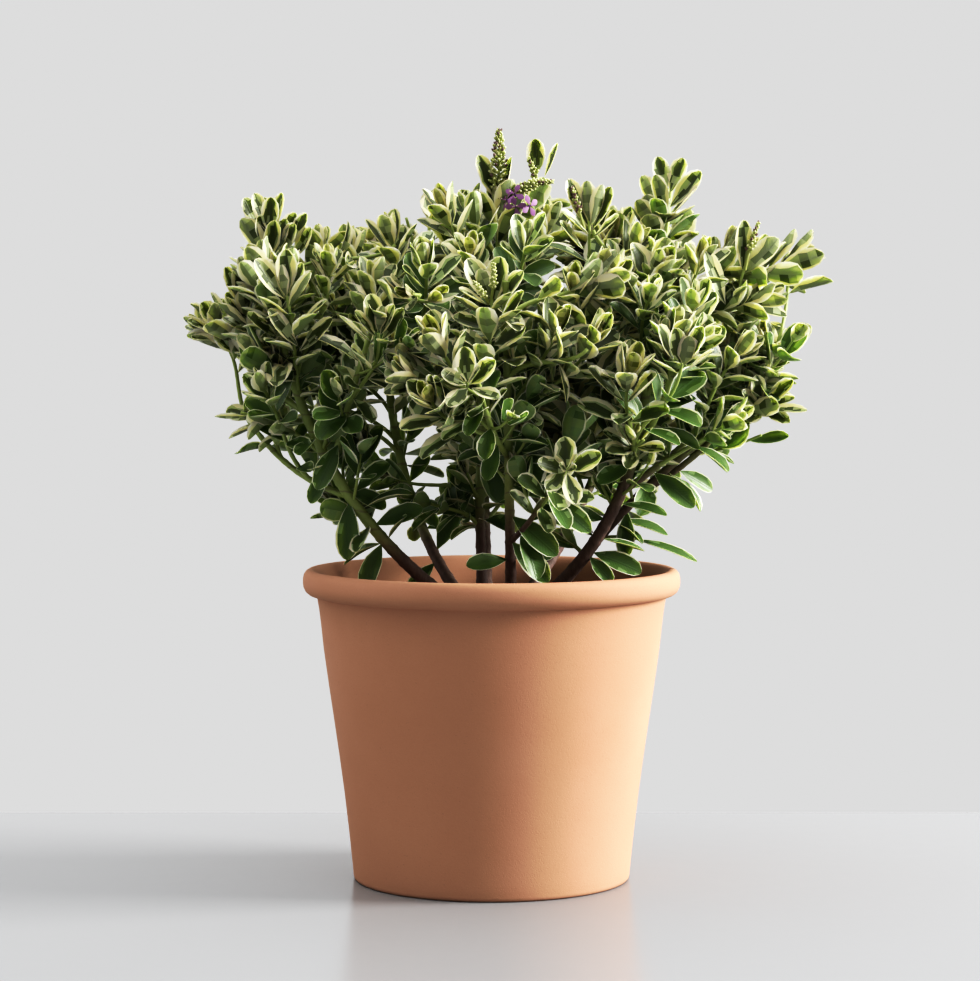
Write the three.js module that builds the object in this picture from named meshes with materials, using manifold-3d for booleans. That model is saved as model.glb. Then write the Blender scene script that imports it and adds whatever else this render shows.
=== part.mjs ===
// A potted variegated hebe: a terracotta pot, its root ball, the stems and boughs,
// and the leafy masses of the crown. Millimetres, +Z up, origin under the pot's axis.

import * as THREE from "three";
import { mergeVertices } from "three/addons/utils/BufferGeometryUtils.js";
import Module from "manifold-3d";

const solidTool = await Module();
solidTool.setup();

// ---- Driving sizes -------------------------------------------------------------

const GAP = 0.3;

// The pot's body widens upwards; each station is a height and the radius there.
const POT_FOOT_ROUNDING = 2.5;
const POT_BODY_STATIONS = [
  { height: 11, radius: 89.2 },
  { height: 56, radius: 94.2 },
  { height: 102, radius: 100.6 },
  { height: 148, radius: 107.2 },
  { height: 176, radius: 109.8 },
];
const POT_FOOT_RADIUS = 88.4;
const FOOT_STEPS = 3;

// The rolled rim's section: part of an oval, turned from below the bulge to the lip.
const POT_RIM = {
  middleHeight: 190,
  middleRadius: 109.6,
  innerRadius: 103.5,
  bulge: 10.5,
  halfTall: 9.5,
  firstTurn: -76,
  lastTurn: 90,
  lipRounding: 3,
};
const POT_WALL = 8;
const POT_FLOOR = 12;
const FLOOR_CORNER = 4;
const POT_SIDES = 40;
const RIM_STEPS = 6;

const SOIL_TOP = 174;
const SOIL_EDGE_DROP = 5;
const SOIL_FLAT_RADIUS = 72;

const LIMB_SIDES = 6;
const STEM_RINGS = 9;
const BOUGH_RINGS = 6;
const STEM_RING_CROWDING = 1.5;
const FLARE_WIDTH = 0.7;
const FLARE_SHARE = 0.06;
const UP = new THREE.Vector3(0, 0, 1);

// A stem stands on the soil at its foot and runs up into a leafy mass. Headings are
// degrees from +X, anticlockwise seen from above; reach is the distance from the axis.
// The bow says how soon the stem has gone outwards and how late it has gone upwards.
const STEMS = {
  stem_left: { foot: [220, 25], into: "crown_left_high", bow: [0.88, 0.37], thick: [8.4, 4.4] },
  stem_left_back: { foot: [150, 18], into: "crown_back_left_high", bow: [1.1, 0.3], thick: [7.8, 4] },
  stem_centre: { foot: [305, 22], into: "crown_centre_high", bow: [0.5, 0.45], thick: [7, 4] },
  stem_middle: { foot: [170, 5], into: "crown_top_centre", bow: [-0.6, 0.5], thick: [7, 3.6] },
  stem_right: { foot: [322, 32], into: "crown_right_inner", bow: [1.25, 0.33], thick: [8.8, 4.6] },
  stem_right_low: { foot: [10, 36], into: "crown_right_tip", bow: [0.4, 0.6], thick: [7.4, 3.6] },
  stem_back: { foot: [96, 30], into: "crown_back_middle", bow: [0.7, 0.42], thick: [8, 4] },
  stem_back_right: { foot: [52, 31], into: "crown_back_right", bow: [0.75, 0.4], thick: [7.6, 4] },
};

// A bough leaves its stem at a share of the stem's length and runs into one mass.
const BOUGHS = {
  bough_left_tip: {
    from: "stem_left", at: 0.42, into: "crown_left_tip", bow: [0.62, 0.2], thick: [4.6, 2.8],
  },
  bough_left_middle: {
    from: "stem_left", at: 0.5, into: "crown_left_middle", bow: [0.3, 0.4], thick: [4.4, 3],
  },
  bough_left_outer: {
    from: "stem_left", at: 0.66, into: "crown_left_outer", bow: [0.6, 0.3], thick: [4.2, 2.8],
  },
  bough_left_top: {
    from: "stem_left", at: 0.78, into: "crown_left_top", bow: [0.3, 0.4], thick: [3.8, 2.8],
  },
  bough_centre_low: {
    from: "stem_centre", at: 0.24, into: "crown_centre_low", bow: [0.6, 0.35], thick: [3.8, 2.6],
  },
  bough_centre_front: {
    from: "stem_centre", at: 0.5, into: "crown_centre_front", bow: [0.7, 0.35], thick: [3.8, 2.8],
  },
  bough_right_peak: {
    from: "stem_right", at: 0.72, into: "crown_right_peak", bow: [0.5, 0.4], thick: [4.2, 3],
  },
  bough_right_middle: {
    from: "stem_right", at: 0.56, into: "crown_right_middle", bow: [0.6, 0.3], thick: [4.6, 3],
  },
  bough_right_low: {
    from: "stem_right", at: 0.44, into: "crown_right_low", bow: [0.6, 0.5], thick: [4.8, 3.2],
  },
  bough_right_outer: {
    from: "stem_right_low", at: 0.5, into: "crown_right_outer", bow: [0.6, 0.3], thick: [4.4, 2.8],
  },
};

// Each leafy mass: heading and reach of its middle, height above the table, spread.
const MASSES = {
  crown_left_high: { heading: 204, reach: 143, height: 378, spread: 66 },
  crown_left_outer: { heading: 184, reach: 170, height: 358, spread: 52 },
  crown_left_tip: { heading: 186, reach: 160, height: 301, spread: 40 },
  crown_left_middle: { heading: 236, reach: 128, height: 361, spread: 60 },
  crown_centre_front: { heading: 266, reach: 138, height: 325, spread: 58 },
  crown_centre_low: { heading: 293, reach: 112, height: 271, spread: 44 },
  crown_top_centre: { heading: 0, reach: 10, height: 425, spread: 62 },
  crown_right_inner: { heading: 336, reach: 98, height: 388, spread: 68 },
  crown_right_peak: { heading: 10, reach: 118, height: 441, spread: 48 },
  crown_right_middle: { heading: 322, reach: 144, height: 342, spread: 66 },
  crown_right_low: { heading: 344, reach: 140, height: 296, spread: 58 },
  crown_right_outer: { heading: 356, reach: 181, height: 341, spread: 50 },
  crown_right_tip: { heading: 352, reach: 175, height: 309, spread: 44 },
  crown_back_left_high: { heading: 131, reach: 108, height: 398, spread: 76 },
  crown_back_middle: { heading: 92, reach: 146, height: 340, spread: 74 },
  crown_back_right: { heading: 48, reach: 142, height: 352, spread: 74 },
  crown_left_top: { heading: 184, reach: 132, height: 414, spread: 60 },
  crown_centre_high: { heading: 274, reach: 114, height: 378, spread: 64 },
  crown_left_low: { heading: 200, reach: 146, height: 327, spread: 54 },
  crown_left_under: { heading: 206, reach: 118, height: 284, spread: 54 },
  crown_left_crest: { heading: 206, reach: 72, height: 404, spread: 62 },
  crown_left_inner: { heading: 240, reach: 92, height: 372, spread: 64 },
  crown_top_left: { heading: 210, reach: 32, height: 419, spread: 60 },
  crown_centre_left: { heading: 250, reach: 120, height: 326, spread: 58 },
  crown_centre_right: { heading: 297, reach: 132, height: 338, spread: 64 },
  crown_top_back: { heading: 50, reach: 44, height: 444, spread: 54 },
  crown_top_right: { heading: 332, reach: 68, height: 417, spread: 58 },
  crown_right_front: { heading: 303, reach: 98, height: 379, spread: 64 },
  crown_right_crest: { heading: 356, reach: 154, height: 384, spread: 70 },
  crown_right_far: { heading: 5, reach: 192, height: 397, spread: 42 },
  crown_right_under: { heading: 320, reach: 114, height: 283, spread: 50 },
  crown_back_left_low: { heading: 153, reach: 130, height: 340, spread: 82 },
  crown_back_left: { heading: 118, reach: 136, height: 348, spread: 78 },
  crown_back_high: { heading: 88, reach: 88, height: 408, spread: 80 },
  crown_back_right_high: { heading: 46, reach: 108, height: 400, spread: 78 },
  crown_back_right_low: { heading: 20, reach: 146, height: 336, spread: 76 },
  crown_back_under: { heading: 81, reach: 108, height: 292, spread: 68 },
  crown_core_left: { heading: 175, reach: 62, height: 352, spread: 84 },
  crown_core_right: { heading: 5, reach: 66, height: 352, spread: 84 },
};

// The upright flower spike: an upturned slender cone of buds on the crown's top.
const SPIKE = { heading: 0, reach: 4, foot: 442, tip: 477, footRadius: 6.4, radius: 8, tipRadius: 1.2 };
const SPIKE_SIDES = 8;
const SPIKE_NEIGHBOURS = ["crown_top_centre", "crown_top_left", "crown_top_back"];
const SPIKE_SWELL = 0.22;

const MASS_SIDES = 8;
const MASS_RINGS = 6;
const MASS_TALL = 0.86;
const MASS_STRETCH = 0.1;
const LUMP_WAVES = 3;
const LUMP_HEIGHT = 0.074;
const LUMP_PACE = 2.2;
const LUMP_PACE_SPREAD = 0.7;

// ---- Materials -----------------------------------------------------------------

function matte(colour, roughness) {
  return new THREE.MeshStandardMaterial({ color: colour, roughness: roughness, metalness: 0 });
}

const terracotta = () => matte(0xcf9270, 0.88);
const pottingSoil = () => matte(0x3a2a20, 0.96);
const oldBark = () => matte(0x4a3426, 0.85);
const greenBark = () => matte(0x6c6d3c, 0.7);
const variegatedLeaf = () => matte(0x8b9468, 0.55);
const budGreen = () => matte(0x97a05c, 0.6);

// ---- Small helpers -------------------------------------------------------------

function seededRandom(seed) {
  let state = seed;
  return () => {
    state = (state * 16807) % 2147483647;
    return state / 2147483647;
  };
}

function atHeading(heading, reach, height) {
  const angle = THREE.MathUtils.degToRad(heading);
  return new THREE.Vector3(reach * Math.cos(angle), reach * Math.sin(angle), height);
}

function massMiddle(name) {
  const mass = MASSES[name];
  return atHeading(mass.heading, mass.reach, mass.height);
}

function toSolid(geometry) {
  const bare = geometry.clone();
  bare.deleteAttribute("normal");
  bare.deleteAttribute("uv");
  const welded = mergeVertices(bare, 1e-4);
  const mesh = new solidTool.Mesh({
    numProp: 3,
    vertProperties: new Float32Array(welded.attributes.position.array),
    triVerts: new Uint32Array(welded.index.array),
  });
  return new solidTool.Manifold(mesh);
}

function toGeometry(solid) {
  const mesh = solid.getMesh();
  const geometry = new THREE.BufferGeometry();
  geometry.setAttribute("position", new THREE.BufferAttribute(mesh.vertProperties, 3));
  geometry.setIndex(new THREE.BufferAttribute(mesh.triVerts, 1));
  geometry.computeVertexNormals();
  return geometry;
}

function largestPart(solid) {
  const parts = solid.decompose();
  return parts.reduce((best, part) => (part.volume() > best.volume() ? part : best));
}

function boxesMeet(first, second) {
  const a = first.boundingBox();
  const b = second.boundingBox();
  return [0, 1, 2].every((axis) => a.min[axis] < b.max[axis] && b.min[axis] < a.max[axis]);
}

function carve(solid, cutters) {
  let result = solid;
  for (const cutter of cutters) {
    if (boxesMeet(result, cutter)) {
      result = result.subtract(cutter);
    }
  }
  return largestPart(result);
}

function namedMesh(name, geometry, material) {
  const mesh = new THREE.Mesh(geometry, material);
  mesh.name = name;
  return mesh;
}

// ---- Pot and root ball -----------------------------------------------------------

function footCorner() {
  const points = [];
  const middleRadius = POT_FOOT_RADIUS - POT_FOOT_ROUNDING;
  for (let step = 0; step <= FOOT_STEPS; step += 1) {
    const angle = -Math.PI / 2 + (step / FOOT_STEPS) * (Math.PI / 2);
    points.push(new THREE.Vector2(
      middleRadius + POT_FOOT_ROUNDING * Math.cos(angle),
      POT_FOOT_ROUNDING + POT_FOOT_ROUNDING * Math.sin(angle),
    ));
  }
  return points;
}

function rimBead() {
  const points = [];
  for (let step = 0; step <= RIM_STEPS; step += 1) {
    const turn = POT_RIM.firstTurn + (step / RIM_STEPS) * (POT_RIM.lastTurn - POT_RIM.firstTurn);
    const angle = THREE.MathUtils.degToRad(turn);
    points.push(new THREE.Vector2(
      POT_RIM.middleRadius + POT_RIM.bulge * Math.cos(angle),
      POT_RIM.middleHeight + POT_RIM.halfTall * Math.sin(angle),
    ));
  }
  return points;
}

function bodyRadius(height) {
  const stations = [{ height: 0, radius: POT_FOOT_RADIUS }, ...POT_BODY_STATIONS];
  for (let index = 1; index < stations.length; index += 1) {
    const below = stations[index - 1];
    const above = stations[index];
    if (height <= above.height) {
      const share = (height - below.height) / (above.height - below.height);
      return below.radius + share * (above.radius - below.radius);
    }
  }
  return stations[stations.length - 1].radius;
}

function innerRadius(height) {
  return Math.min(bodyRadius(height) - POT_WALL, POT_RIM.innerRadius);
}

function innerWall(inset, top) {
  const stations = POT_BODY_STATIONS.slice(1).map((station) => station.height);
  const cornerHeights = [POT_FLOOR + inset, POT_FLOOR + FLOOR_CORNER];
  const heights = [...cornerHeights, ...stations].filter((height) => height < top);
  const points = heights.map((height) => new THREE.Vector2(innerRadius(height) - inset, height));
  points[0].x -= FLOOR_CORNER;
  points.push(new THREE.Vector2(innerRadius(top) - inset, top));
  return points;
}

function potGeometry() {
  const lipTop = POT_RIM.middleHeight + POT_RIM.halfTall;
  const lipStart = lipTop - POT_RIM.lipRounding;
  const lipChamfer = 0.4 * POT_RIM.lipRounding;
  const profile = [
    new THREE.Vector2(0, 0),
    ...footCorner(),
    ...POT_BODY_STATIONS.map((station) => new THREE.Vector2(station.radius, station.height)),
    ...rimBead(),
    new THREE.Vector2(POT_RIM.innerRadius + lipChamfer, lipTop - lipChamfer),
    ...innerWall(0, lipStart).reverse(),
    new THREE.Vector2(0, POT_FLOOR),
  ];
  return uprightLathe(profile, POT_SIDES);
}

function soilGeometry() {
  const profile = [
    new THREE.Vector2(0, POT_FLOOR + GAP),
    ...innerWall(GAP, SOIL_TOP - SOIL_EDGE_DROP),
    new THREE.Vector2(SOIL_FLAT_RADIUS, SOIL_TOP),
    new THREE.Vector2(0, SOIL_TOP),
  ];
  return uprightLathe(profile, POT_SIDES);
}

function uprightLathe(profile, sides) {
  const geometry = new THREE.LatheGeometry(profile, sides);
  geometry.rotateX(Math.PI / 2);
  return geometry;
}

// ---- Stems and boughs --------------------------------------------------------------

function bowedCurve(start, end, bow) {
  const [outShare, upShare] = bow;
  const middle = new THREE.Vector3(
    start.x + outShare * (end.x - start.x),
    start.y + outShare * (end.y - start.y),
    start.z + upShare * (end.z - start.z),
  );
  return new THREE.QuadraticBezierCurve3(start, middle, end);
}

function stemCurve(name) {
  const stem = STEMS[name];
  const foot = atHeading(stem.foot[0], stem.foot[1], SOIL_TOP + GAP);
  return bowedCurve(foot, massMiddle(stem.into), stem.bow);
}

function boughCurve(name) {
  const bough = BOUGHS[name];
  const start = stemCurve(bough.from).getPoint(bough.at);
  return bowedCurve(start, massMiddle(bough.into), bough.bow);
}

function limbRadius(limb, share, flared) {
  const [footThick, topThick] = limb.thick;
  const taper = (footThick + share * (topThick - footThick)) / 2;
  const flare = flared ? FLARE_WIDTH * Math.exp(-share / FLARE_SHARE) : 0;
  return taper * (1 + flare);
}

// One ring of points round the limb's line; a stem's first ring lies level on the soil.
function limbRing(curve, share, radius, side, level) {
  const middle = curve.getPoint(share);
  const along = level ? UP : curve.getTangent(share);
  const across = new THREE.Vector3().crossVectors(along, side).normalize();
  const flat = new THREE.Vector3().crossVectors(across, along).normalize();
  const ring = [];
  for (let corner = 0; corner < LIMB_SIDES; corner += 1) {
    const angle = (corner / LIMB_SIDES) * 2 * Math.PI;
    const point = middle.clone()
      .addScaledVector(flat, radius * Math.cos(angle))
      .addScaledVector(across, radius * Math.sin(angle));
    ring.push(point.x, point.y, point.z);
  }
  return ring;
}

function limbFaces(rings) {
  const faces = [];
  for (let ring = 0; ring < rings; ring += 1) {
    for (let corner = 0; corner < LIMB_SIDES; corner += 1) {
      const next = (corner + 1) % LIMB_SIDES;
      const here = ring * LIMB_SIDES;
      const above = here + LIMB_SIDES;
      faces.push(here + corner, here + next, above + next);
      faces.push(here + corner, above + next, above + corner);
    }
  }
  const last = rings * LIMB_SIDES;
  for (let corner = 1; corner < LIMB_SIDES - 1; corner += 1) {
    faces.push(0, corner + 1, corner);
    faces.push(last, last + corner, last + corner + 1);
  }
  return faces;
}

function limbGeometry(curve, limb, options) {
  const { rings, flared, growth } = options;
  const side = new THREE.Vector3().crossVectors(UP, curve.getTangent(0.5)).normalize();
  const positions = [];
  for (let ring = 0; ring <= rings; ring += 1) {
    const share = (ring / rings) ** (flared ? STEM_RING_CROWDING : 1);
    const radius = limbRadius(limb, share, flared) + growth;
    positions.push(...limbRing(curve, share, radius, side, flared && ring === 0));
  }
  const geometry = new THREE.BufferGeometry();
  geometry.setAttribute("position", new THREE.Float32BufferAttribute(positions, 3));
  geometry.setIndex(limbFaces(rings));
  return geometry;
}

function outwardSolid(geometry) {
  const solid = toSolid(geometry);
  if (solid.volume() > 0) {
    return solid;
  }
  const flipped = geometry.clone();
  flipped.setIndex(Array.from(geometry.index.array).reverse());
  return toSolid(flipped);
}

function stemSolid(name, growth) {
  const options = { rings: STEM_RINGS, flared: true, growth };
  return outwardSolid(limbGeometry(stemCurve(name), STEMS[name], options));
}

function boughSolid(name, growth) {
  const options = { rings: BOUGH_RINGS, flared: false, growth };
  return outwardSolid(limbGeometry(boughCurve(name), BOUGHS[name], options));
}

// ---- Leafy masses and the flower spike -----------------------------------------------

function lumpFunction(random) {
  const waves = [];
  for (let index = 0; index < LUMP_WAVES; index += 1) {
    waves.push({
      direction: new THREE.Vector3(random() - 0.5, random() - 0.5, random() - 0.5).normalize(),
      pace: LUMP_PACE * (1 + LUMP_PACE_SPREAD * random()),
      phase: 2 * Math.PI * random(),
    });
  }
  return (outward) => {
    const swell = waves.map((wave) => Math.sin(wave.pace * outward.dot(wave.direction) + wave.phase));
    return 1 + LUMP_HEIGHT * swell.reduce((sum, part) => sum + part, 0);
  };
}

function massSolid(name, growth) {
  const mass = MASSES[name];
  const random = seededRandom(mass.heading * 97 + mass.reach * 31 + mass.height * 7);
  const lump = lumpFunction(random);
  const stretch = () => 1 + MASS_STRETCH * (2 * random() - 1);
  const half = mass.spread / 2;
  const size = new THREE.Vector3(half * stretch(), half * stretch(), half * MASS_TALL * stretch());
  const geometry = new THREE.SphereGeometry(1, MASS_SIDES, MASS_RINGS);
  geometry.rotateX(Math.PI / 2);
  geometry.rotateZ(2 * Math.PI * random());
  const spots = geometry.attributes.position;
  const middle = massMiddle(name);
  for (let index = 0; index < spots.count; index += 1) {
    const outward = new THREE.Vector3().fromBufferAttribute(spots, index).normalize();
    const point = outward.clone().multiply(size).multiplyScalar(lump(outward));
    point.addScaledVector(outward, growth).add(middle);
    spots.setXYZ(index, point.x, point.y, point.z);
  }
  return toSolid(geometry);
}

function spikeSolid() {
  const middleHeight = SPIKE.foot + SPIKE_SWELL * (SPIKE.tip - SPIKE.foot);
  const profile = [
    new THREE.Vector2(0, SPIKE.foot),
    new THREE.Vector2(SPIKE.footRadius, SPIKE.foot),
    new THREE.Vector2(SPIKE.radius, middleHeight),
    new THREE.Vector2(SPIKE.tipRadius, SPIKE.tip),
    new THREE.Vector2(0, SPIKE.tip),
  ];
  const geometry = uprightLathe(profile, SPIKE_SIDES);
  const foot = atHeading(SPIKE.heading, SPIKE.reach, 0);
  geometry.translate(foot.x, foot.y, 0);
  return outwardSolid(geometry);
}

// ---- The whole plant -------------------------------------------------------------------

function growStems() {
  const stems = {};
  const earlier = [];
  for (const name of Object.keys(STEMS)) {
    const ownMass = massSolid(STEMS[name].into, GAP);
    stems[name] = carve(stemSolid(name, 0), [ownMass, ...earlier]);
    earlier.push(stemSolid(name, GAP));
  }
  return stems;
}

function growBoughs() {
  const stemCutters = Object.keys(STEMS).map((name) => stemSolid(name, GAP));
  const boughs = {};
  const earlier = [];
  for (const name of Object.keys(BOUGHS)) {
    const ownMass = massSolid(BOUGHS[name].into, GAP);
    boughs[name] = carve(boughSolid(name, 0), [ownMass, ...stemCutters, ...earlier]);
    earlier.push(boughSolid(name, GAP));
  }
  return boughs;
}

function limbCutters(massName) {
  const stems = Object.keys(STEMS).filter((name) => STEMS[name].into !== massName);
  const boughs = Object.keys(BOUGHS).filter((name) => BOUGHS[name].into !== massName);
  return [
    ...stems.map((name) => stemSolid(name, GAP)),
    ...boughs.map((name) => boughSolid(name, GAP)),
  ];
}

function growMasses() {
  const masses = {};
  const earlier = [];
  for (const name of Object.keys(MASSES)) {
    masses[name] = carve(massSolid(name, 0), [...earlier, ...limbCutters(name)]);
    earlier.push(massSolid(name, GAP));
  }
  return masses;
}

function buildPlant() {
  const plant = new THREE.Group();
  plant.name = "potted_hebe";
  plant.add(namedMesh("pot", potGeometry(), terracotta()));
  plant.add(namedMesh("root_ball", soilGeometry(), pottingSoil()));
  for (const [name, solid] of Object.entries(growStems())) {
    plant.add(namedMesh(name, toGeometry(solid), oldBark()));
  }
  for (const [name, solid] of Object.entries(growBoughs())) {
    plant.add(namedMesh(name, toGeometry(solid), greenBark()));
  }
  for (const [name, solid] of Object.entries(growMasses())) {
    plant.add(namedMesh(name, toGeometry(solid), variegatedLeaf()));
  }
  const spikeNeighbours = SPIKE_NEIGHBOURS.map((name) => massSolid(name, GAP));
  const spike = carve(spikeSolid(), spikeNeighbours);
  plant.add(namedMesh("flower_spike", toGeometry(spike), budGreen()));
  return plant;
}

export default buildPlant();
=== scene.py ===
"""A potted variegated hebe: a terracotta pot, potting mix, stems, twigs, leaves and blossom."""

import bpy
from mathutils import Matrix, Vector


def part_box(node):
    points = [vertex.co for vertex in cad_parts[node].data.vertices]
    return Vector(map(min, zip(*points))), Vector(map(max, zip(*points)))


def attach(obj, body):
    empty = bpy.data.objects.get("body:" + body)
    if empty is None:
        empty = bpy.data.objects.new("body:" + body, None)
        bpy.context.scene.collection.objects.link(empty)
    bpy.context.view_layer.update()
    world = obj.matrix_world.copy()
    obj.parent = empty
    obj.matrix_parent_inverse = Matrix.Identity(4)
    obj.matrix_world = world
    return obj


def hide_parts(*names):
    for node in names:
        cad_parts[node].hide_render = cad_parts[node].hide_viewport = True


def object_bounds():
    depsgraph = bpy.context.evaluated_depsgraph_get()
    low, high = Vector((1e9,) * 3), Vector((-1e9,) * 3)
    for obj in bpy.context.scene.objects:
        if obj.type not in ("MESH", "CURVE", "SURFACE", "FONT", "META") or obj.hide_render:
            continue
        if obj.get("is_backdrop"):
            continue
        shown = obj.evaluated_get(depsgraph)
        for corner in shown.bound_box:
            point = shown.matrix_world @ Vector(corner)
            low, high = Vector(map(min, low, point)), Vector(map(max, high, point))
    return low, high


bl_info = {
    "name": "Potted variegated hebe",
    "version": (1, 0, 0),
    "blender": (4, 5, 0),
    "location": "3D View > Sidebar > Hebe",
    "description": "Builds a variegated hebe shrub in a rolled-rim terracotta pot",
    "category": "Add Mesh",
}

import math
import random

import bmesh
import bpy
import numpy as np
from bpy.props import FloatProperty, FloatVectorProperty, IntProperty, PointerProperty
from bpy.types import Operator, Panel, PropertyGroup
from mathutils import Matrix, Vector, noise

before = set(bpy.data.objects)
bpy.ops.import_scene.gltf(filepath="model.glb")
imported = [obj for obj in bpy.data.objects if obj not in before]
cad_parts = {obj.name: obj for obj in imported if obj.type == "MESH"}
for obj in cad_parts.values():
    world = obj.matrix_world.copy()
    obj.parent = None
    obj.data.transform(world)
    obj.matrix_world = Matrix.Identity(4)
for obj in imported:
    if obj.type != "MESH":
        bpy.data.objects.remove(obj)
CAD_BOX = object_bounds()

MM = 0.001
UP = np.array([0.0, 0.0, 1.0])
# The turn in radians from one bud or shoot to the next that spreads them evenly.
GOLDEN_TURN = 2.39996

# ---- Shaders ----


class Value:
    """A number inside a shader. A sum written on it adds its Math nodes to the material."""

    def __init__(self, paint, socket):
        self.paint, self.socket = paint, socket

    def _math(self, operation, *terms):
        made = self.paint.node("ShaderNodeMath", {"operation": operation}, dict(enumerate(terms)))
        return Value(self.paint, made.outputs[0])

    def __add__(self, other):
        return self._math("ADD", self, other)

    def __sub__(self, other):
        return self._math("SUBTRACT", self, other)

    def __rsub__(self, other):
        return self._math("SUBTRACT", other, self)

    def __mul__(self, other):
        return self._math("MULTIPLY", self, other)

    __radd__ = __add__
    __rmul__ = __mul__

    def __abs__(self):
        return self._math("ABSOLUTE", self)

    def sine(self):
        return self._math("SINE", self)

    def at_least(self, other):
        return self._math("MAXIMUM", self, other)

    def between(self, low, high, first=0.0, last=1.0, kind="SMOOTHSTEP"):
        """Runs from the first number, where the value is low, to the last, where it is high."""
        inputs = {"Value": self, "From Min": low, "From Max": high, "To Min": first, "To Max": last}
        made = self.paint.node("ShaderNodeMapRange", {"interpolation_type": kind}, inputs)
        return Value(self.paint, made.outputs[0])


class Paint:
    """The nodes of one material, or of the room round the object."""

    def __init__(self, name, owner=None, shader="Principled BSDF"):
        self.material = owner or bpy.data.materials.new(name)
        self.material.use_nodes = True
        self.tree = self.material.node_tree
        self.shader = self.tree.nodes[shader]

    def node(self, kind, settings=None, inputs=None):
        """Adds a node, gives it its settings, then the values or links of its sockets."""
        made = self.tree.nodes.new(kind)
        for key, value in (settings or {}).items():
            setattr(made, key, value)
        for key, value in (inputs or {}).items():
            self.feed(made.inputs[key], value)
        return made

    def feed(self, socket, value):
        if isinstance(value, Value):
            value = value.socket
        if isinstance(value, bpy.types.NodeSocket):
            self.tree.links.new(value, socket)
        else:
            socket.default_value = value

    def set(self, **sockets):
        """Feeds the shader's own sockets; an underscore stands for a space."""
        for key, value in sockets.items():
            self.feed(self.shader.inputs[key.replace("_", " ")], value)

    def place(self, kind="Object"):
        return self.node("ShaderNodeTexCoord").outputs[kind]

    def stretched(self, scale):
        inputs = {"Vector": self.place(), "Scale": scale}
        return self.node("ShaderNodeMapping", inputs=inputs).outputs[0]

    def parts(self, vector):
        split = self.node("ShaderNodeSeparateXYZ", inputs={0: vector})
        return [Value(self, socket) for socket in split.outputs]

    def noise(self, scale, detail=3.0, rough=0.5, vector=None):
        vector = vector or self.place()
        inputs = {"Vector": vector, "Scale": scale, "Detail": detail, "Roughness": rough}
        return Value(self, self.node("ShaderNodeTexNoise", inputs=inputs).outputs[0])

    def cells(self, scale):
        inputs = {"Vector": self.place(), "Scale": scale}
        return Value(self, self.node("ShaderNodeTexVoronoi", inputs=inputs).outputs["Distance"])

    def blend(self, share, first, second):
        """Mixes two colours; a share of 0 gives the first."""
        inputs = {0: share, 6: opaque(first), 7: opaque(second)}
        return self.node("ShaderNodeMix", {"data_type": "RGBA"}, inputs).outputs[2]

    def relief(self, height, distance, strength):
        inputs = {"Height": height, "Distance": distance, "Strength": strength}
        self.set(Normal=self.node("ShaderNodeBump", inputs=inputs).outputs[0])


def grained(name, colour, rough, grain, relief):
    """A material of one plain colour with a fine grain in its relief."""
    paint = Paint(name)
    paint.set(Base_Color=opaque(colour), Roughness=rough)
    paint.relief(paint.noise(*grain), *relief)
    return paint.material


def opaque(colour):
    if isinstance(colour, bpy.types.NodeSocket):
        return colour
    return (*colour[:3], 1.0)


def shade(colour, amount):
    return [amount * part for part in colour]


# ---- Meshes ----


def deselect_all():
    if bpy.context.object and bpy.context.object.mode != "OBJECT":
        bpy.ops.object.mode_set(mode="OBJECT")
    bpy.ops.object.select_all(action="DESELECT")


def choose(piece):
    """Makes a piece the one that operators act on."""
    deselect_all()
    piece.select_set(True)
    bpy.context.view_layer.objects.active = piece


def smooth_by_angle(piece, angle):
    choose(piece)
    bpy.ops.object.shade_smooth_by_angle(angle=math.radians(angle))


def add_disc(name, sides, radius, height):
    """A flat disc in edit mode with all of it selected, the start of a turned piece."""
    deselect_all()
    place = (0, 0, height)
    bpy.ops.mesh.primitive_circle_add(
        vertices=sides, radius=radius, fill_type="NGON", location=place
    )
    disc = bpy.context.object
    disc.name = name
    bpy.ops.object.transform_apply(location=True, rotation=True, scale=True)
    bpy.ops.object.mode_set(mode="EDIT")
    bpy.ops.mesh.select_mode(type="EDGE")
    bpy.ops.mesh.select_all(action="SELECT")
    return disc


def select_outer_edge(disc, radius):
    bpy.ops.mesh.select_mode(type="EDGE")
    bpy.ops.mesh.select_all(action="DESELECT")
    edit = bmesh.from_edit_mesh(disc.data)
    for edge in edit.edges:
        edge.select = all(math.hypot(*vertex.co.xy) > radius * 0.99 for vertex in edge.verts)
    bmesh.update_edit_mesh(disc.data)


def extrude_ring(rise, share, height):
    """Draws the selected ring up by the rise and widens it to a share of what it was."""
    bpy.ops.mesh.extrude_region_move(TRANSFORM_OT_translate={"value": (0, 0, rise)})
    bpy.ops.transform.resize(value=(share, share, 1), center_override=(0, 0, height))


def close_shell(inset=0.0):
    """Closes the last ring, turns all faces outwards and leaves edit mode."""
    bpy.ops.mesh.edge_face_add()
    if inset:
        bpy.ops.mesh.inset(thickness=inset)
    bpy.ops.mesh.select_all(action="SELECT")
    bpy.ops.mesh.normals_make_consistent(inside=False)
    bpy.ops.object.mode_set(mode="OBJECT")


def mesh_piece(name, points, faces, materials, slots=None, smooth=True):
    """Joins arrays of points and faces into one object."""
    mesh = bpy.data.meshes.new(name)
    counts = np.array([len(face) for face in faces], dtype=np.int32)
    corners = np.concatenate([np.asarray(face, dtype=np.int32) for face in faces])
    fill_mesh(mesh, np.asarray(points), counts, corners)
    return finish_mesh(name, mesh, materials, slots, smooth)


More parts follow.
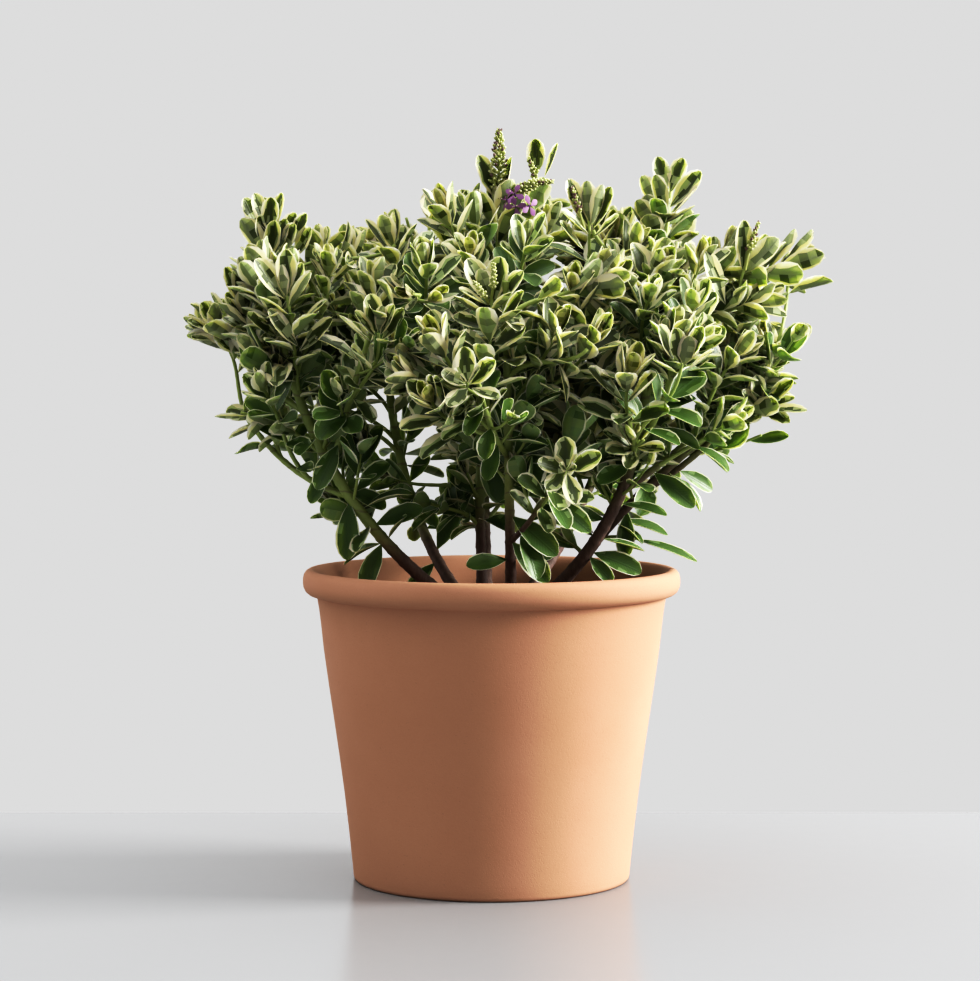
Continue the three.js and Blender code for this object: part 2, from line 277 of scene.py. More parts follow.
def fill_mesh(mesh, points, counts, corners):
    mesh.vertices.add(len(points))
    mesh.vertices.foreach_set("co", points.astype(np.float32).ravel())
    mesh.loops.add(len(corners))
    mesh.loops.foreach_set("vertex_index", corners.astype(np.int32))
    starts = np.concatenate([[0], np.cumsum(counts)[:-1]]).astype(np.int32)
    mesh.polygons.add(len(counts))
    mesh.polygons.foreach_set("loop_start", starts)
    mesh.update(calc_edges=True)


def finish_mesh(name, mesh, materials, slots, smooth):
    for material in materials:
        mesh.materials.append(material)
    if slots is not None:
        mesh.polygons.foreach_set("material_index", np.asarray(slots, dtype=np.int32))
    mesh.polygons.foreach_set("use_smooth", np.full(len(mesh.polygons), smooth))
    mesh.validate()
    mesh.update()
    piece = bpy.data.objects.new(name, mesh)
    bpy.context.scene.collection.objects.link(piece)
    return piece


def tube_rings(line, radii, sides):
    """Points of a tube round a line, in rings that don't twist."""
    tangents = np.gradient(line, axis=0)
    tangents /= np.linalg.norm(tangents, axis=1)[:, None]
    side = unit(np.cross(tangents[0], np.array([0.3, 0.2, 0.9])))
    angles = (np.arange(sides) * 2 * math.pi / sides)[:, None]
    for point, tangent, radius in zip(line, tangents, radii):
        side = unit(side - tangent * np.dot(side, tangent))
        yield point + radius * (np.cos(angles) * side + np.sin(angles) * np.cross(tangent, side))


def add_tube(points, faces, line, radii, sides):
    """Adds a tube along the line, closed by a flat face at each end."""
    start = len(points)
    points.extend(point for ring in tube_rings(line, radii, sides) for point in ring)
    for ring in range(len(line) - 1):
        faces.extend(ring_faces(start + ring * sides, sides))
    last = start + (len(line) - 1) * sides
    faces.append(tuple(start + corner for corner in reversed(range(sides))))
    faces.append(tuple(last + corner for corner in range(sides)))


def ring_faces(here, sides):
    """The faces from one ring of points to the next."""
    for corner in range(sides):
        after = (corner + 1) % sides
        yield here + corner, here + after, here + sides + after, here + sides + corner


def hand_over(piece, slot, *nodes):
    """Lets a finished piece ride on the plant and stand for its nodes."""
    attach(piece, "root")
    if nodes:
        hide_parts(*nodes)


def crown_nodes():
    return sorted(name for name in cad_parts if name.startswith("crown_"))


# ---- Lines, headings and limbs ----


def unit(vector):
    return vector / max(np.linalg.norm(vector), 1e-9)


def metres(place):
    return np.array(place) * MM


def turned(angle, first, second):
    """The first direction, turned by the angle towards the second."""
    return math.cos(angle) * first + math.sin(angle) * second


def at_heading(heading, reach, height):
    angle = math.radians(heading)
    return np.array([reach * MM * math.cos(angle), reach * MM * math.sin(angle), height])


def direction(heading, lift):
    turn, rise = math.radians(heading), math.radians(lift)
    level = math.cos(rise)
    return np.array([level * math.cos(turn), level * math.sin(turn), math.sin(rise)])


def seen_from_front(points):
    """Where points show from the front, across and up, at the size they have at the axis."""
    stage = bpy.context.scene.hebe_stage
    shrink = stage.distance / (stage.distance + points[:, 1])
    return np.stack([points[:, 0] * shrink, (points[:, 2] - stage.height) * shrink], axis=1)


def bent_line(points, steps):
    """A smooth line through space from two to four steering points."""
    share = np.linspace(0, 1, steps + 1)[:, None]
    degree = len(points) - 1
    line = np.zeros((steps + 1, 3))
    for index, point in enumerate(points):
        weight = math.comb(degree, index) * share**index * (1 - share) ** (degree - index)
        line += weight * point
    return line


class Limb:
    """A tapering stem, bough or twig: the points along its middle and its radius at each."""

    def __init__(self, line, thick):
        self.line = line
        share = np.linspace(0, 1, len(line))
        self.radii = (thick[0] + share * (thick[1] - thick[0])) / 2 * MM
        steps = np.linalg.norm(np.diff(line, axis=0), axis=1)
        self.along = np.concatenate([[0], np.cumsum(steps)])
        self.length = self.along[-1]

    def point(self, distance):
        return np.array([np.interp(distance, self.along, axis) for axis in self.line.T])

    def heading(self, distance):
        reach = 1.5 * MM
        return unit(self.point(distance + reach) - self.point(distance - reach))

    def radius(self, distance):
        return float(np.interp(distance, self.along, self.radii))


def mass_shape(name):
    low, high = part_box(name)
    return (np.array(low) + np.array(high)) / 2, (np.array(high) - np.array(low)) / 2


def bowed_limb(start, mass, bow, thick, steps):
    end = mass_shape(mass)[0]
    middle = start + (end - start) * np.array([bow[0], bow[0], bow[1]])
    return Limb(bent_line([start, middle, end], steps), thick)


def best_spot(limbs, shares, cost):
    """The limb, and the distance along it, whose point costs least."""
    spots = [(limb, spot) for limb in limbs for spot in np.linspace(*shares) * limb.length]
    return min(spots, key=lambda spot: cost(spot[0].point(spot[1])))


def nearest_spot(limbs, shares, wanted):
    return best_spot(limbs, shares, lambda point: np.linalg.norm(point - wanted))


def shoot_tip(row, rise=0.0):
    """Where a shoot's tip stands, which way it faces, and its vigour or the room it takes."""
    *place, heading, lift, vigour = row
    facing = direction(heading, lift)
    return metres(place) + facing * rise, facing, vigour


# ---- Where the plant grows ----

SOIL_TOP = 174 * MM

# Stems: heading of the foot in degrees from +X and its reach from the axis, the mass that the
# stem enters, how soon it has gone outwards and how late upwards, and its thickness at the
# foot and at the top. In mm.
STEMS = {
    "stem_left": ((220, 25), "crown_left_high", (0.88, 0.37), (8.4, 4.4)),
    "stem_left_back": ((150, 18), "crown_back_left_high", (1.1, 0.3), (7.8, 4)),
    "stem_centre": ((305, 22), "crown_centre_high", (0.5, 0.45), (7, 4)),
    "stem_middle": ((170, 5), "crown_top_centre", (-0.6, 0.5), (7, 3.6)),
    "stem_right": ((322, 32), "crown_right_inner", (1.25, 0.33), (8.8, 4.6)),
    "stem_right_low": ((10, 36), "crown_right_tip", (0.4, 0.6), (7.4, 3.6)),
    "stem_back": ((96, 30), "crown_back_middle", (0.7, 0.42), (8, 4)),
    "stem_back_right": ((52, 31), "crown_back_right", (0.75, 0.4), (7.6, 4)),
}
# Boughs: the stem they leave and the share along it, then the same.
BOUGHS = {
    "bough_left_tip": (("stem_left", 0.42), "crown_left_tip", (0.62, 0.2), (4.6, 2.8)),
    "bough_left_middle": (("stem_left", 0.5), "crown_left_middle", (0.3, 0.4), (4.4, 3)),
    "bough_left_outer": (("stem_left", 0.66), "crown_left_outer", (0.6, 0.3), (4.2, 2.8)),
    "bough_left_top": (("stem_left", 0.78), "crown_left_top", (0.3, 0.4), (3.8, 2.8)),
    "bough_centre_low": (("stem_centre", 0.24), "crown_centre_low", (0.6, 0.35), (3.8, 2.6)),
    "bough_centre_front": (("stem_centre", 0.5), "crown_centre_front", (0.7, 0.35), (3.8, 2.8)),
    "bough_right_peak": (("stem_right", 0.72), "crown_right_peak", (0.5, 0.4), (4.2, 3)),
    "bough_right_middle": (("stem_right", 0.56), "crown_right_middle", (0.6, 0.3), (4.6, 3)),
    "bough_right_low": (("stem_right", 0.44), "crown_right_low", (0.6, 0.5), (4.8, 3.2)),
    "bough_right_outer": (("stem_right_low", 0.5), "crown_right_outer", (0.6, 0.3), (4.4, 2.8)),
}
STEM_STEPS = 60
BOUGH_STEPS = 40

# Main shoots: place of the tip in mm, heading and lift in degrees, and vigour.
MAIN_SHOOTS = (
    (-108, -10, 404, 90, 82, 0.8), (-101, -45, 391, 250, 74, 0.75),
    (-155, -40, 362, 205, 62, 0.85), (-178, -15, 350, 186, 30, 0.95),
    (-156, -45, 299, 190, 14, 0.85), (-140, -80, 316, 235, 45, 0.9), (-72, -60, 378, 262, 78, 1.0),
    (-62, -30, 408, 200, 80, 1.0), (-90, 20, 403, 120, 80, 0.85), (-41, -75, 391, 255, 62, 1.0),
    (-29, -25, 425, 195, 72, 1.0), (-13, -60, 397, 270, 64, 0.85), (-32, -125, 343, 235, 50, 1.05),
    (-36, -135, 309, 255, 36, 1.05), (4, 0, 426, 90, 88, 1.15), (50, -85, 375, 270, 50, 1.0),
    (103, 4, 419, 165, 76, 1.0), (172, 8, 396, 10, 62, 0.95), (90, -20, 402, 335, 58, 0.95),
    (-13, -8, 424, 200, 72, 0.95), (36, 0, 417, 300, 76, 0.9), (21, -55, 406, 275, 60, 0.95),
    (39, -110, 351, 290, 48, 0.95), (62, -100, 345, 300, 48, 0.95), (83, -110, 324, 300, 62, 1.1),
    (124, -70, 366, 285, 55, 1.0), (96, -75, 370, 300, 55, 0.9), (130, -40, 394, 305, 68, 0.95),
    (193, 10, 396, 5, 34, 1.05), (169, -30, 369, 350, 20, 0.95), (174, -20, 331, 0, 25, 0.9),
    (155, -50, 337, 335, 42, 0.85), (169, -30, 302, 355, 20, 0.9), (149, -60, 295, 325, 32, 0.9),
    (170, 20, 316, 5, 25, 0.8),
)
SHOOT_REACH = 55 * MM

# Dark shoots low in the heart of the plant, given in the same way.
LOW_SHOOTS = (
    (-50, -18, 246, 200, 30, 0.75), (-24, 6, 244, 250, 35, 0.8), (50, 4, 220, 20, 25, 0.7),
    (-97, -30, 246, 220, 5, 0.8), (-64, -20, 258, 220, 25, 0.75),
)
LOW_SHOOT_REACH = 24 * MM

# Shoots whose young leaves are placed one by one, given in the same way, with the room that
# they take instead of the vigour. Grown leaves follow from the rank on.
ROSETTES = (
    (112, 0, 440, 0, 77, 1.2), (159, -20, 390, 0, 72, 1.05), (29, 35, 452, 80, 86, 0.8),
    (61, -31, 418, 280, 84, 1.25), (0, -111, 369, 278, 85, 1.4), (45, -111, 267, 285, 30, 1.25),
    (-125, -75, 371, 200, 77, 1.35), (-139, -20, 413, 180, 86, 1.2),
    (-68, -106, 348, 262, 60, 1.15), (-14, -137, 319, 285, 40, 1.15),
    (114, -110, 330, 290, 70, 1.2),
)
ROSETTE_RANK = 5
ROSETTE_RISE = 10 * MM

# Open places seen from the front, where no shoot of the masses has its tip: middle across,
# height and radius in mm.
OPENINGS = (
    (-186, 322, 42), (-141, 246, 27), (-170, 266, 26), (-184, 380, 13), (-122, 437, 18),
    (196, 354, 12), (206, 308, 26), (112, 232, 27), (128, 258, 14), (112, 432, 32), (5, 450, 22),
    (160, 270, 16), (-44, 262, 12), (-78, 226, 16), (60, 248, 12),
)
# Narrow gaps seen from the front, across and up in mm, that leaves are taken out of.
GAPS = (
    (185, 350), (61, 251), (-162, 313), (-38, 251), (197, 363), (-75, 226), (160, 276), (135, 264),
    (-51, 264), (-175, 375), (111, 226), (210, 326), (197, 338), (197, 326), (-162, 326),
    (210, 338), (98, 226), (173, 286), (-137, 251), (-137, 264), (-125, 251), (-180, 330),
    (-171, 330), (-181, 318), (-172, 318), (-181, 306), (-171, 305),
)
GAP_RADIUS = 8 * MM

# Share of the shoots that masses with these words in their names have.
MASS_SHARES = {"core": 0.45, "back_left_low": 0.6, "_low": 0.72, "_under": 0.7, "left_inner": 0.7}

# Leaves placed one by one, by the shoot that they stand on: foot, tip and width in mm, which
# way the upper side faces in tenths across, back and up, and the number of the leaf's shape.
PLACED_LEAVES = {
    "raceme": (
        (4, 2, 432, -10, 0, 461, 12, 3, -9, 2, 5), (6, -2, 430, 16, -2, 459, 12, -9, -3.5, 1, 5),
    ),
    "crest": (
        (111, 1, 438, 105, 6, 460, 11.5, 1, -9, 1, 4),
        (113, 1, 437, 122, 6, 459, 11.5, -2, -9, 1, 7),
        (113, -1, 428, 134, -6, 450, 13.5, -2, -9, 4, 2),
        (107, 0, 427, 94, 2, 448, 12, 3, 8, 2, 6), (111, -1, 424, 103, -12, 447, 10.5, 1, 8, 4, 3),
        (106, 0, 414, 91, -8, 431, 13, 2, 7, 4, 8), (110, 0, 420, 133, -9, 439, 11, -4, -3, 8, 9),
        (107, 0, 417, 130, -8, 426, 11, -1, -1, 9, 9),
    ),
    "spike": (
        (158, -20, 387, 156, -25, 420, 12.5, 3, -9, 2, 2),
        (159, -20, 386, 181, -27, 406, 16, -2, 7, 4, 7),
        (146, -34, 366, 129, -46, 399, 13.5, 2, -8, 5, 1),
    ),
    "back": (
        (29, 35, 450, 28, 33, 474, 13, 0, -10, 2, 6), (34, 35, 449, 45, 36, 470, 8, -8, -5, 3, 3),
    ),
    "fan": (
        (61, -30, 414, 46, -30, 444, 12, 3, -9, 2, 3),
        (61, -31, 417, 59, -35, 443, 11.5, 1, 9, 2, 6),
        (62, -31, 415, 71, -36, 440, 11, -5, 7, 2, 2),
        (63, -28, 413, 76, -26, 439, 11, -4, -9, 2, 9),
        (61, -32, 410, 41, -44, 422, 12.5, 3, -5, 8, 1),
        (58, -33, 400, 39, -50, 415, 12, 3, -6, 7, 4),
        (63, -32, 408, 81, -44, 419, 12, -3, -5, 8, 5),
        (62, -34, 386, 90, -50, 397, 11.5, -1, 0, 10, 2),
    ),
    "heart": (
        (0, -110, 366, -16, -108, 392, 15.5, 3, -9, 3, 0),
        (1, -110, 366, 6, -108, 394, 14.5, -2, -9, 2, 5),
        (2, -111, 364, 21, -114, 384, 13, -6, -7, 4, 7),
        (-2, -112, 365, -21, -122, 372, 13, 2, -4, 9, 0),
        (0, -112, 368, -8, -116, 386, 12, 2, 9, 3, 9),
        (-1, -113, 360, 13, -128, 370, 10, -2, 1, 10, 1),
        (0, -113, 357, -24, -126, 367, 11, 1, 1, 10, 0),
        (0, -113, 352, 18, -130, 359, 10.5, 0, 1, 10, 1),
        (3, -111, 350, 22, -120, 372, 13, -6, -6, 6, 9),
        (-2, -111, 352, -24, -116, 356, 12, 1, -7, 6, 9),
        (1, -113, 341, 22, -124, 351, 13, -2, -9, 4, 8),
        (-1, -113, 340, -21, -124, 346, 12, 2, -8, 6, 4),
    ),
    "face": (
        (45, -110, 267, 43, -118, 288, 14, 0, -9, 3, 5),
        (45, -110, 266, 26, -117, 271, 11, 1, -9, 3, 9),
        (46, -110, 266, 67, -118, 276, 12.5, 0, -9, 3, 8),
        (46, -111, 265, 64, -121, 259, 12, 0, -9, 4, 1),
        (45, -111, 265, 50, -121, 245, 12, 1, -9, 3, 3),
        (44, -110, 265, 32, -116, 254, 11, 1, -9, 3, 8),
        (45, -112, 266, 39, -121, 270, 6, 3, -8, 3, 2),
        (45, -112, 266, 52, -122, 268, 6, -2, -8, 3, 2),
    ),
    "large": (
        (-125, -75, 371, -126, -78, 400, 13.5, 2, -9, 2, 2),
        (-125, -77, 370, -130, -82, 390, 9, 2, 9, 2, 6),
        (-126, -76, 369, -146, -82, 392, 15.5, 5, -8, 4, 0),
        (-124, -76, 364, -108, -88, 383, 11, -4, 4, 8, 4),
        (-123, -74, 369, -114, -74, 391, 11, -4, -8, 3, 7),
        (-123, -76, 359, -143, -88, 368, 11, 1, -1, 10, 1),
        (-118, -74, 340, -138, -84, 362, 12, 3, -8, 5, 7),
        (-119, -74, 353, -98, -84, 366, 11, -2, -5, 9, 2),
        (-118, -72, 337, -94, -82, 356, 12.5, -2, -8, 6, 6),
        (-131, -70, 346, -151, -78, 359, 11, 1, -7, 7, 9),
    ),
    "peak": (
        (-140, -19, 411, -150, -22, 436, 11, 3, -8, 2, 1),
        (-140, -21, 411, -138, -25, 434, 12, 1, -9, 3, 6),
        (-138, -19, 412, -130, -17, 436, 10, -5, -8, 2, 3),
        (-141, -20, 396, -158, -26, 419, 15.5, 3, 8, 4, 7),
        (-140, -22, 394, -135, -31, 420, 11, 1, -9, 3, 5),
        (-137, -20, 397, -127, -24, 420, 11, -3, -9, 2, 9),
        (-141, -20, 390, -159, -26, 400, 11, 1, -2, 10, 3),
        (-127, -20, 403, -114, -24, 423, 11, -4, -8, 3, 4),
        (-147, -14, 415, -157, -17, 433, 12, 3, -8, 4, 4),
        (-142, -16, 413, -143, -18, 434, 13, 2, -9, 2, 0),
        (-140, -17, 402, -147, -22, 422, 12, 2, -8, 4, 8),
        (-132, -16, 404, -122, -18, 424, 12, -3, -9, 3, 2),
        (-124, -22, 396, -111, -28, 414, 12, -3, -8, 4, 1),
        (-131, -22, 398, -121, -29, 417, 11.5, -2, -8, 5, 7),
    ),
    "outer": (
        (-152, -41, 363, -167, -46, 389, 12.5, 3, -8, 4, 3),
        (-153, -42, 364, -158, -47, 391, 12, 1, -9, 3, 6),
        (-153, -41, 361, -169, -47, 375, 12, 2, -7, 6, 1),
        (-150, -41, 356, -165, -48, 367, 11, 1, -6, 8, 9),
        (-151, -42, 363, -150, -46, 387, 11, -3, -8, 3, 4),
    ),
    "far": (
        (-170, -17, 351, -184, -22, 367, 14, 1, -8, 5, 7),
        (-171, -17, 349, -192, -24, 354, 11, 0, -6, 8, 2),
        (-170, -17, 347, -189, -23, 344, 10, 0, -7, 7, 8),
        (-159, -17, 336, -175, -23, 350, 13, 0, -9.5, 3, 10),
    ),
    "point": (
        (170, -31, 303, 190, -35, 318, 12, -3, -7, 5, 3),
        (170, -31, 302, 197, -36, 297, 11.5, 0, -5, 9, 1),
        (170, -32, 303, 190, -39, 306, 10, 0, -6, 8, 8),
        (169, -31, 301, 186, -37, 291, 10.5, 0, -7, 6, 9),
        (168, -31, 303, 164, -36, 323, 11, 2, -9, 3, 5),
        (168, -32, 302, 154, -40, 311, 11, 3, -7, 6, 2),
        (168, -32, 301, 159, -40, 292, 11, 1, -8, 5, 6),
    ),
    "long": ((91, 2, 217, 133, -2, 208, 9.5, 0.5, -4.5, 9, 12),),
    "front": (
        (-69, -107, 348, -74, -108, 372, 13, 3, -9, 3, 5),
        (-67, -107, 347, -56, -113, 365, 11, -5, -7, 4, 0),
        (-68, -109, 349, -65, -114, 364, 8, 0, 8, 5, 6),
        (-69, -108, 346, -84, -117, 360, 11, 4, -6, 7, 1),
        (-66, -106, 344, -50, -112, 362, 11.5, -5, -8, 4, 9),
        (-72, -106, 343, -93, -114, 356, 11, 2, -3, 10, 8),
        (-67, -109, 343, -60, -127, 341, 12, 1, -1, 10, 1),
    ),
    "low": (
        (-14, -138, 319, -17, -142, 341, 13, 1, -9, 3, 6),
        (-13, -139, 318, 4, -147, 332, 13, -2, -9, 4, 3),
        (-14, -140, 319, -5, -149, 328, 7, 0, -7, 7, 0),
        (-12, -138, 316, 5, -147, 308, 11, 1, -7, 7, 2),
        (-15, -138, 318, -31, -144, 324, 11, 2, -8, 5, 7),
        (-14, -138, 316, -26, -145, 304, 11, 0, -8, 5, 8),
    ),
    "bright": (
        (113, -110, 330, 108, -115, 352, 12, 2, -9, 3, 8),
        (115, -112, 329, 118, -118, 346, 15, 1, 8, 4, 4),
        (116, -110, 331, 128, -114, 352, 12, -4, -8, 4, 9),
        (109, -110, 332, 97, -118, 353, 12, 4, -7, 5, 5),
        (116, -111, 326, 134, -120, 336, 11, -2, -3, 10, 1),
        (112, -111, 324, 95, -121, 330, 11, 2, -2, 10, 6),
    ),
}
# The twig that holds the long low leaf out: limb, share along it and its end in mm.
LONG_TWIG = ("stem_right_low", 0.28, (92, 2, 217))

# Old leaves on the bare wood: limb, share along it, heading and lift in degrees, length in mm
# and, for some, how far the leaf faces up.
LOW_LEAVES = (
    ("stem_left", 0.42, 256, -80, 37), ("stem_left", 0.28, 220, -60, 31),
    ("bough_left_middle", 0.17, 233, -52, 33), ("stem_centre", 0.17, 209, -5, 29),
    ("stem_centre", 0.23, 321, -39, 37), ("stem_centre", 0.31, 337, -36, 38),
    ("stem_left", 0.33, 350, 23, 32), ("stem_left_back", 0.4, 37, 52, 24),
    ("stem_middle", 0.32, 189, -25, 28), ("stem_right", 0.22, 318, -39, 24),
    ("stem_right", 0.23, 345, -18, 33), ("stem_right_low", 0.42, 253, -78, 30),
    ("bough_right_low", 0.35, 334, -36, 34), ("stem_right", 0.38, 345, -7, 30, 2.4),
    ("stem_right_low", 0.38, 7, -17, 32, 2.4), ("bough_right_outer", 0.2, 19, -27, 27),
    ("bough_centre_low", 0.65, 332, -32, 35), ("stem_left", 0.52, 208, -60, 25),
    ("stem_centre", 0.47, 332, -18, 31), ("stem_left_back", 0.17, 205, -42, 26),
    ("stem_left_back", 0.19, 10, 64, 34), ("stem_middle", 0.24, 185, 12, 27),
    ("stem_left_back", 0.36, 325, -38, 25), ("stem_middle", 0.38, 300, -44, 36),
    ("stem_centre", 0.4, 350, -14, 21), ("stem_right", 0.33, 195, 12, 29),
    ("stem_right", 0.27, 172, 40, 23), ("stem_centre", 0.17, 352, 8, 25),
    ("stem_left_back", 0.27, 15, 18, 27), ("stem_left", 0.45, 15, -20, 29),
    ("stem_middle", 0.3, 340, 20, 26),
)
LOW_LEAVES_FROM = 218 * MM
OLD_LEAVES_TO = 325 * MM
SIDE_SHOOTS_FROM = 234 * MM
SIDE_SHOOTS_TO = 330 * MM

# Below this height, and no further back, the wood shows between the leaves. Few leaves nearer
# to it than the clearance stay, except those on a main shoot's rosette.
WOOD_IN_SIGHT_TO = 318 * MM
WOOD_IN_SIGHT_BEHIND = 30 * MM
WOOD_CLEARANCE = 6.5 * MM
MAIN_ROSETTE = 30 * MM
HIDING_SHARE = 0.15

# The broad shoots that close the crown behind and at the sides. Their tips stand inside a skin
# over the masses. It is found along ways that spread all round from the crown's middle, and
# over a gap it follows the ways beside it, up to the neighbour angle in degrees.
CROWN_MIDDLE = metres((5, 30, 285))
CROWN_WAYS = 270
NEIGHBOUR_ANGLE = 24
BEHIND_FROM = -0.25
SKIN_DEPTH = 10 * MM
SKIN_FROM = 60 * MM
SKIN_CLEARANCE = 20 * MM
# A leaf hides what it stands before from the front, within the reach and by the gap or more.
SCREEN_REACH = 9 * MM
SCREEN_GAP = 10 * MM
HIDDEN_SHARE = 0.8

# From the youngest leaf pair to the oldest: its distance from the shoot's tip in mm, how far
# it opens in degrees, its length in mm, how far it bends in degrees, and its tone.
PAIR_DISTANCES = (0.4, 2.2, 6.0, 11.5, 18.5, 26.5, 35.0, 44.5, 55.0, 66.0, 78.0, 91.0)
PAIR_OPENINGS = (11, 23, 33, 40, 45, 49, 52, 55, 58, 61, 65, 69)
PAIR_LENGTHS = (10, 19, 25, 29, 30, 30, 29, 28, 27, 26, 25, 24)
PAIR_BENDS = (-26, -30, -26, -18, -8, 0, 6, 10, 14, 17, 20, 22)
PAIR_TONES = (0, 0, 1, 1, 1, 2, 2, 2, 2, 2, 3, 3)

# The tones, the leaf shapes that each draws from, the number of shapes and the first old one,
# the fold of the leaves placed one by one, and how wide those on the bare wood are.
TONES = ("tip", "young", "grown", "old")
YOUNG, OLD = 1, 3
TONE_VARIANTS = (range(0, 7), range(0, 10), range(3, 12), range(11, 16))
LEAF_VARIANTS = 16
OLD_FROM = 11
NARROW_FOLD = 0.16
OLD_WIDTH_SHARE = 0.41

# Ranges that sizes are drawn from, in mm, degrees or shares.
SHOOT_VIGOURS = (0.78, 1.08)
SIDE_VIGOURS = (0.82, 1.06)
BACK_VIGOURS = (1.0, 1.22)
SIDE_LENGTHS = (20, 52)
SIDE_GAPS = (8, 15)
LEAF_LENGTHS = (0.88, 1.08)
LEAF_WIDTHS = (0.88, 1.12)
LEAF_FOLDS = (0.16, 0.42)
OLD_GAPS = (9, 15)
OLD_OPENINGS = (50, 88)
OLD_DROOPS = (0, 0.45)
OLD_LENGTHS = (22, 34)
OLD_WIDTHS = (0.85, 1.0)
OLD_BENDS = (2, 34)
OLD_FOLDS = (0.1, 0.35)
LOW_BENDS = (4, 16)

# Wood where a shoot may begin: the shares of a limb's length between which spots are tried,
# and their number.
ANY_WOOD = (0.2, 1.0, 24)
CARRIER_WOOD = (0.55, 1.0, 10)
TWIG_WOOD = (0.3, 0.92, 16)
# A shoot should begin behind its tip by its reach, and lower by a share of that. Then the reach
# of a mass's shoots, the least rise that a twig to a mass should have, and the least distance
# of a mass's tips from its middle.
SHOOT_DROP = 0.27
MASS_SHOOT_REACH = 45 * MM
LEAST_RISE = 20 * MM
LEAST_HALF = 7 * MM
# A twig's thickness at its foot and tip in mm, and the share of its limb's that it starts with.
SHOOT_THICK = (3.0, 1.8)
SIDE_THICK = (2.2, 1.5)
LONG_THICK = (2.2, 1.6)
CARRIER_TIP = 2.4
CARRIER_SHARE = 0.72
SIDE_TURN = 2.4
# Share of the leaves past the youngest that a shoot keeps, and how far apart its pairs stand.
SHOOT_KEEPS, SIDE_KEEPS = 0.97, 0.9
DARK_STRETCH, SIDE_STRETCH = 1.5, 1.55
FULL_RANKS = 4
# Room round a main shoot in mm at vigour 1: beside it, before it, and how far down it goes.
MAIN_ROOM = 16
MAIN_VIEW = 19
MAIN_DEPTH = 50 * MM


class Leaf:
    """Where one leaf grows, which way it points and faces, and its own shape."""

    def __init__(self, place, along, face, length, width, bend, fold, tone, variant):
        self.place, self.along = place, unit(along)
        self.face = unit(face - self.along * np.dot(face, self.along))
        self.length, self.width, self.bend, self.fold = length, width, bend, fold
        self.tone, self.variant = tone, variant

    def point(self, share):
        return self.place + self.along * self.length * share


def far_side(ways, middle, half):
    """How far each way from the crown's middle leaves a mass; 0 where it misses it."""
    start = (CROWN_MIDDLE - middle) / half
    steps = ways / half
    square, twice = (steps**2).sum(axis=1), steps @ start
    inside = twice**2 - square * (start @ start - 1)
    return np.where(inside > 0, (-twice + np.sqrt(np.maximum(inside, 0))) / square, 0).clip(0)


class Screen:
    """The leaves that stand before a place when the plant is seen from the front."""

    def __init__(self, leaves):
        middles = np.array([leaf.point(0.5) for leaf in leaves])
        self.seen = seen_from_front(middles)
        self.depth = middles[:, 1]

    def hides(self, points):
        """True for each point with two leaves or more before it."""
        gaps = np.linalg.norm(seen_from_front(points)[:, None] - self.seen[None], axis=2)
        before = (gaps < SCREEN_REACH) & (self.depth[None] < points[:, 1, None] - SCREEN_GAP)
        return before.sum(axis=1) > 1


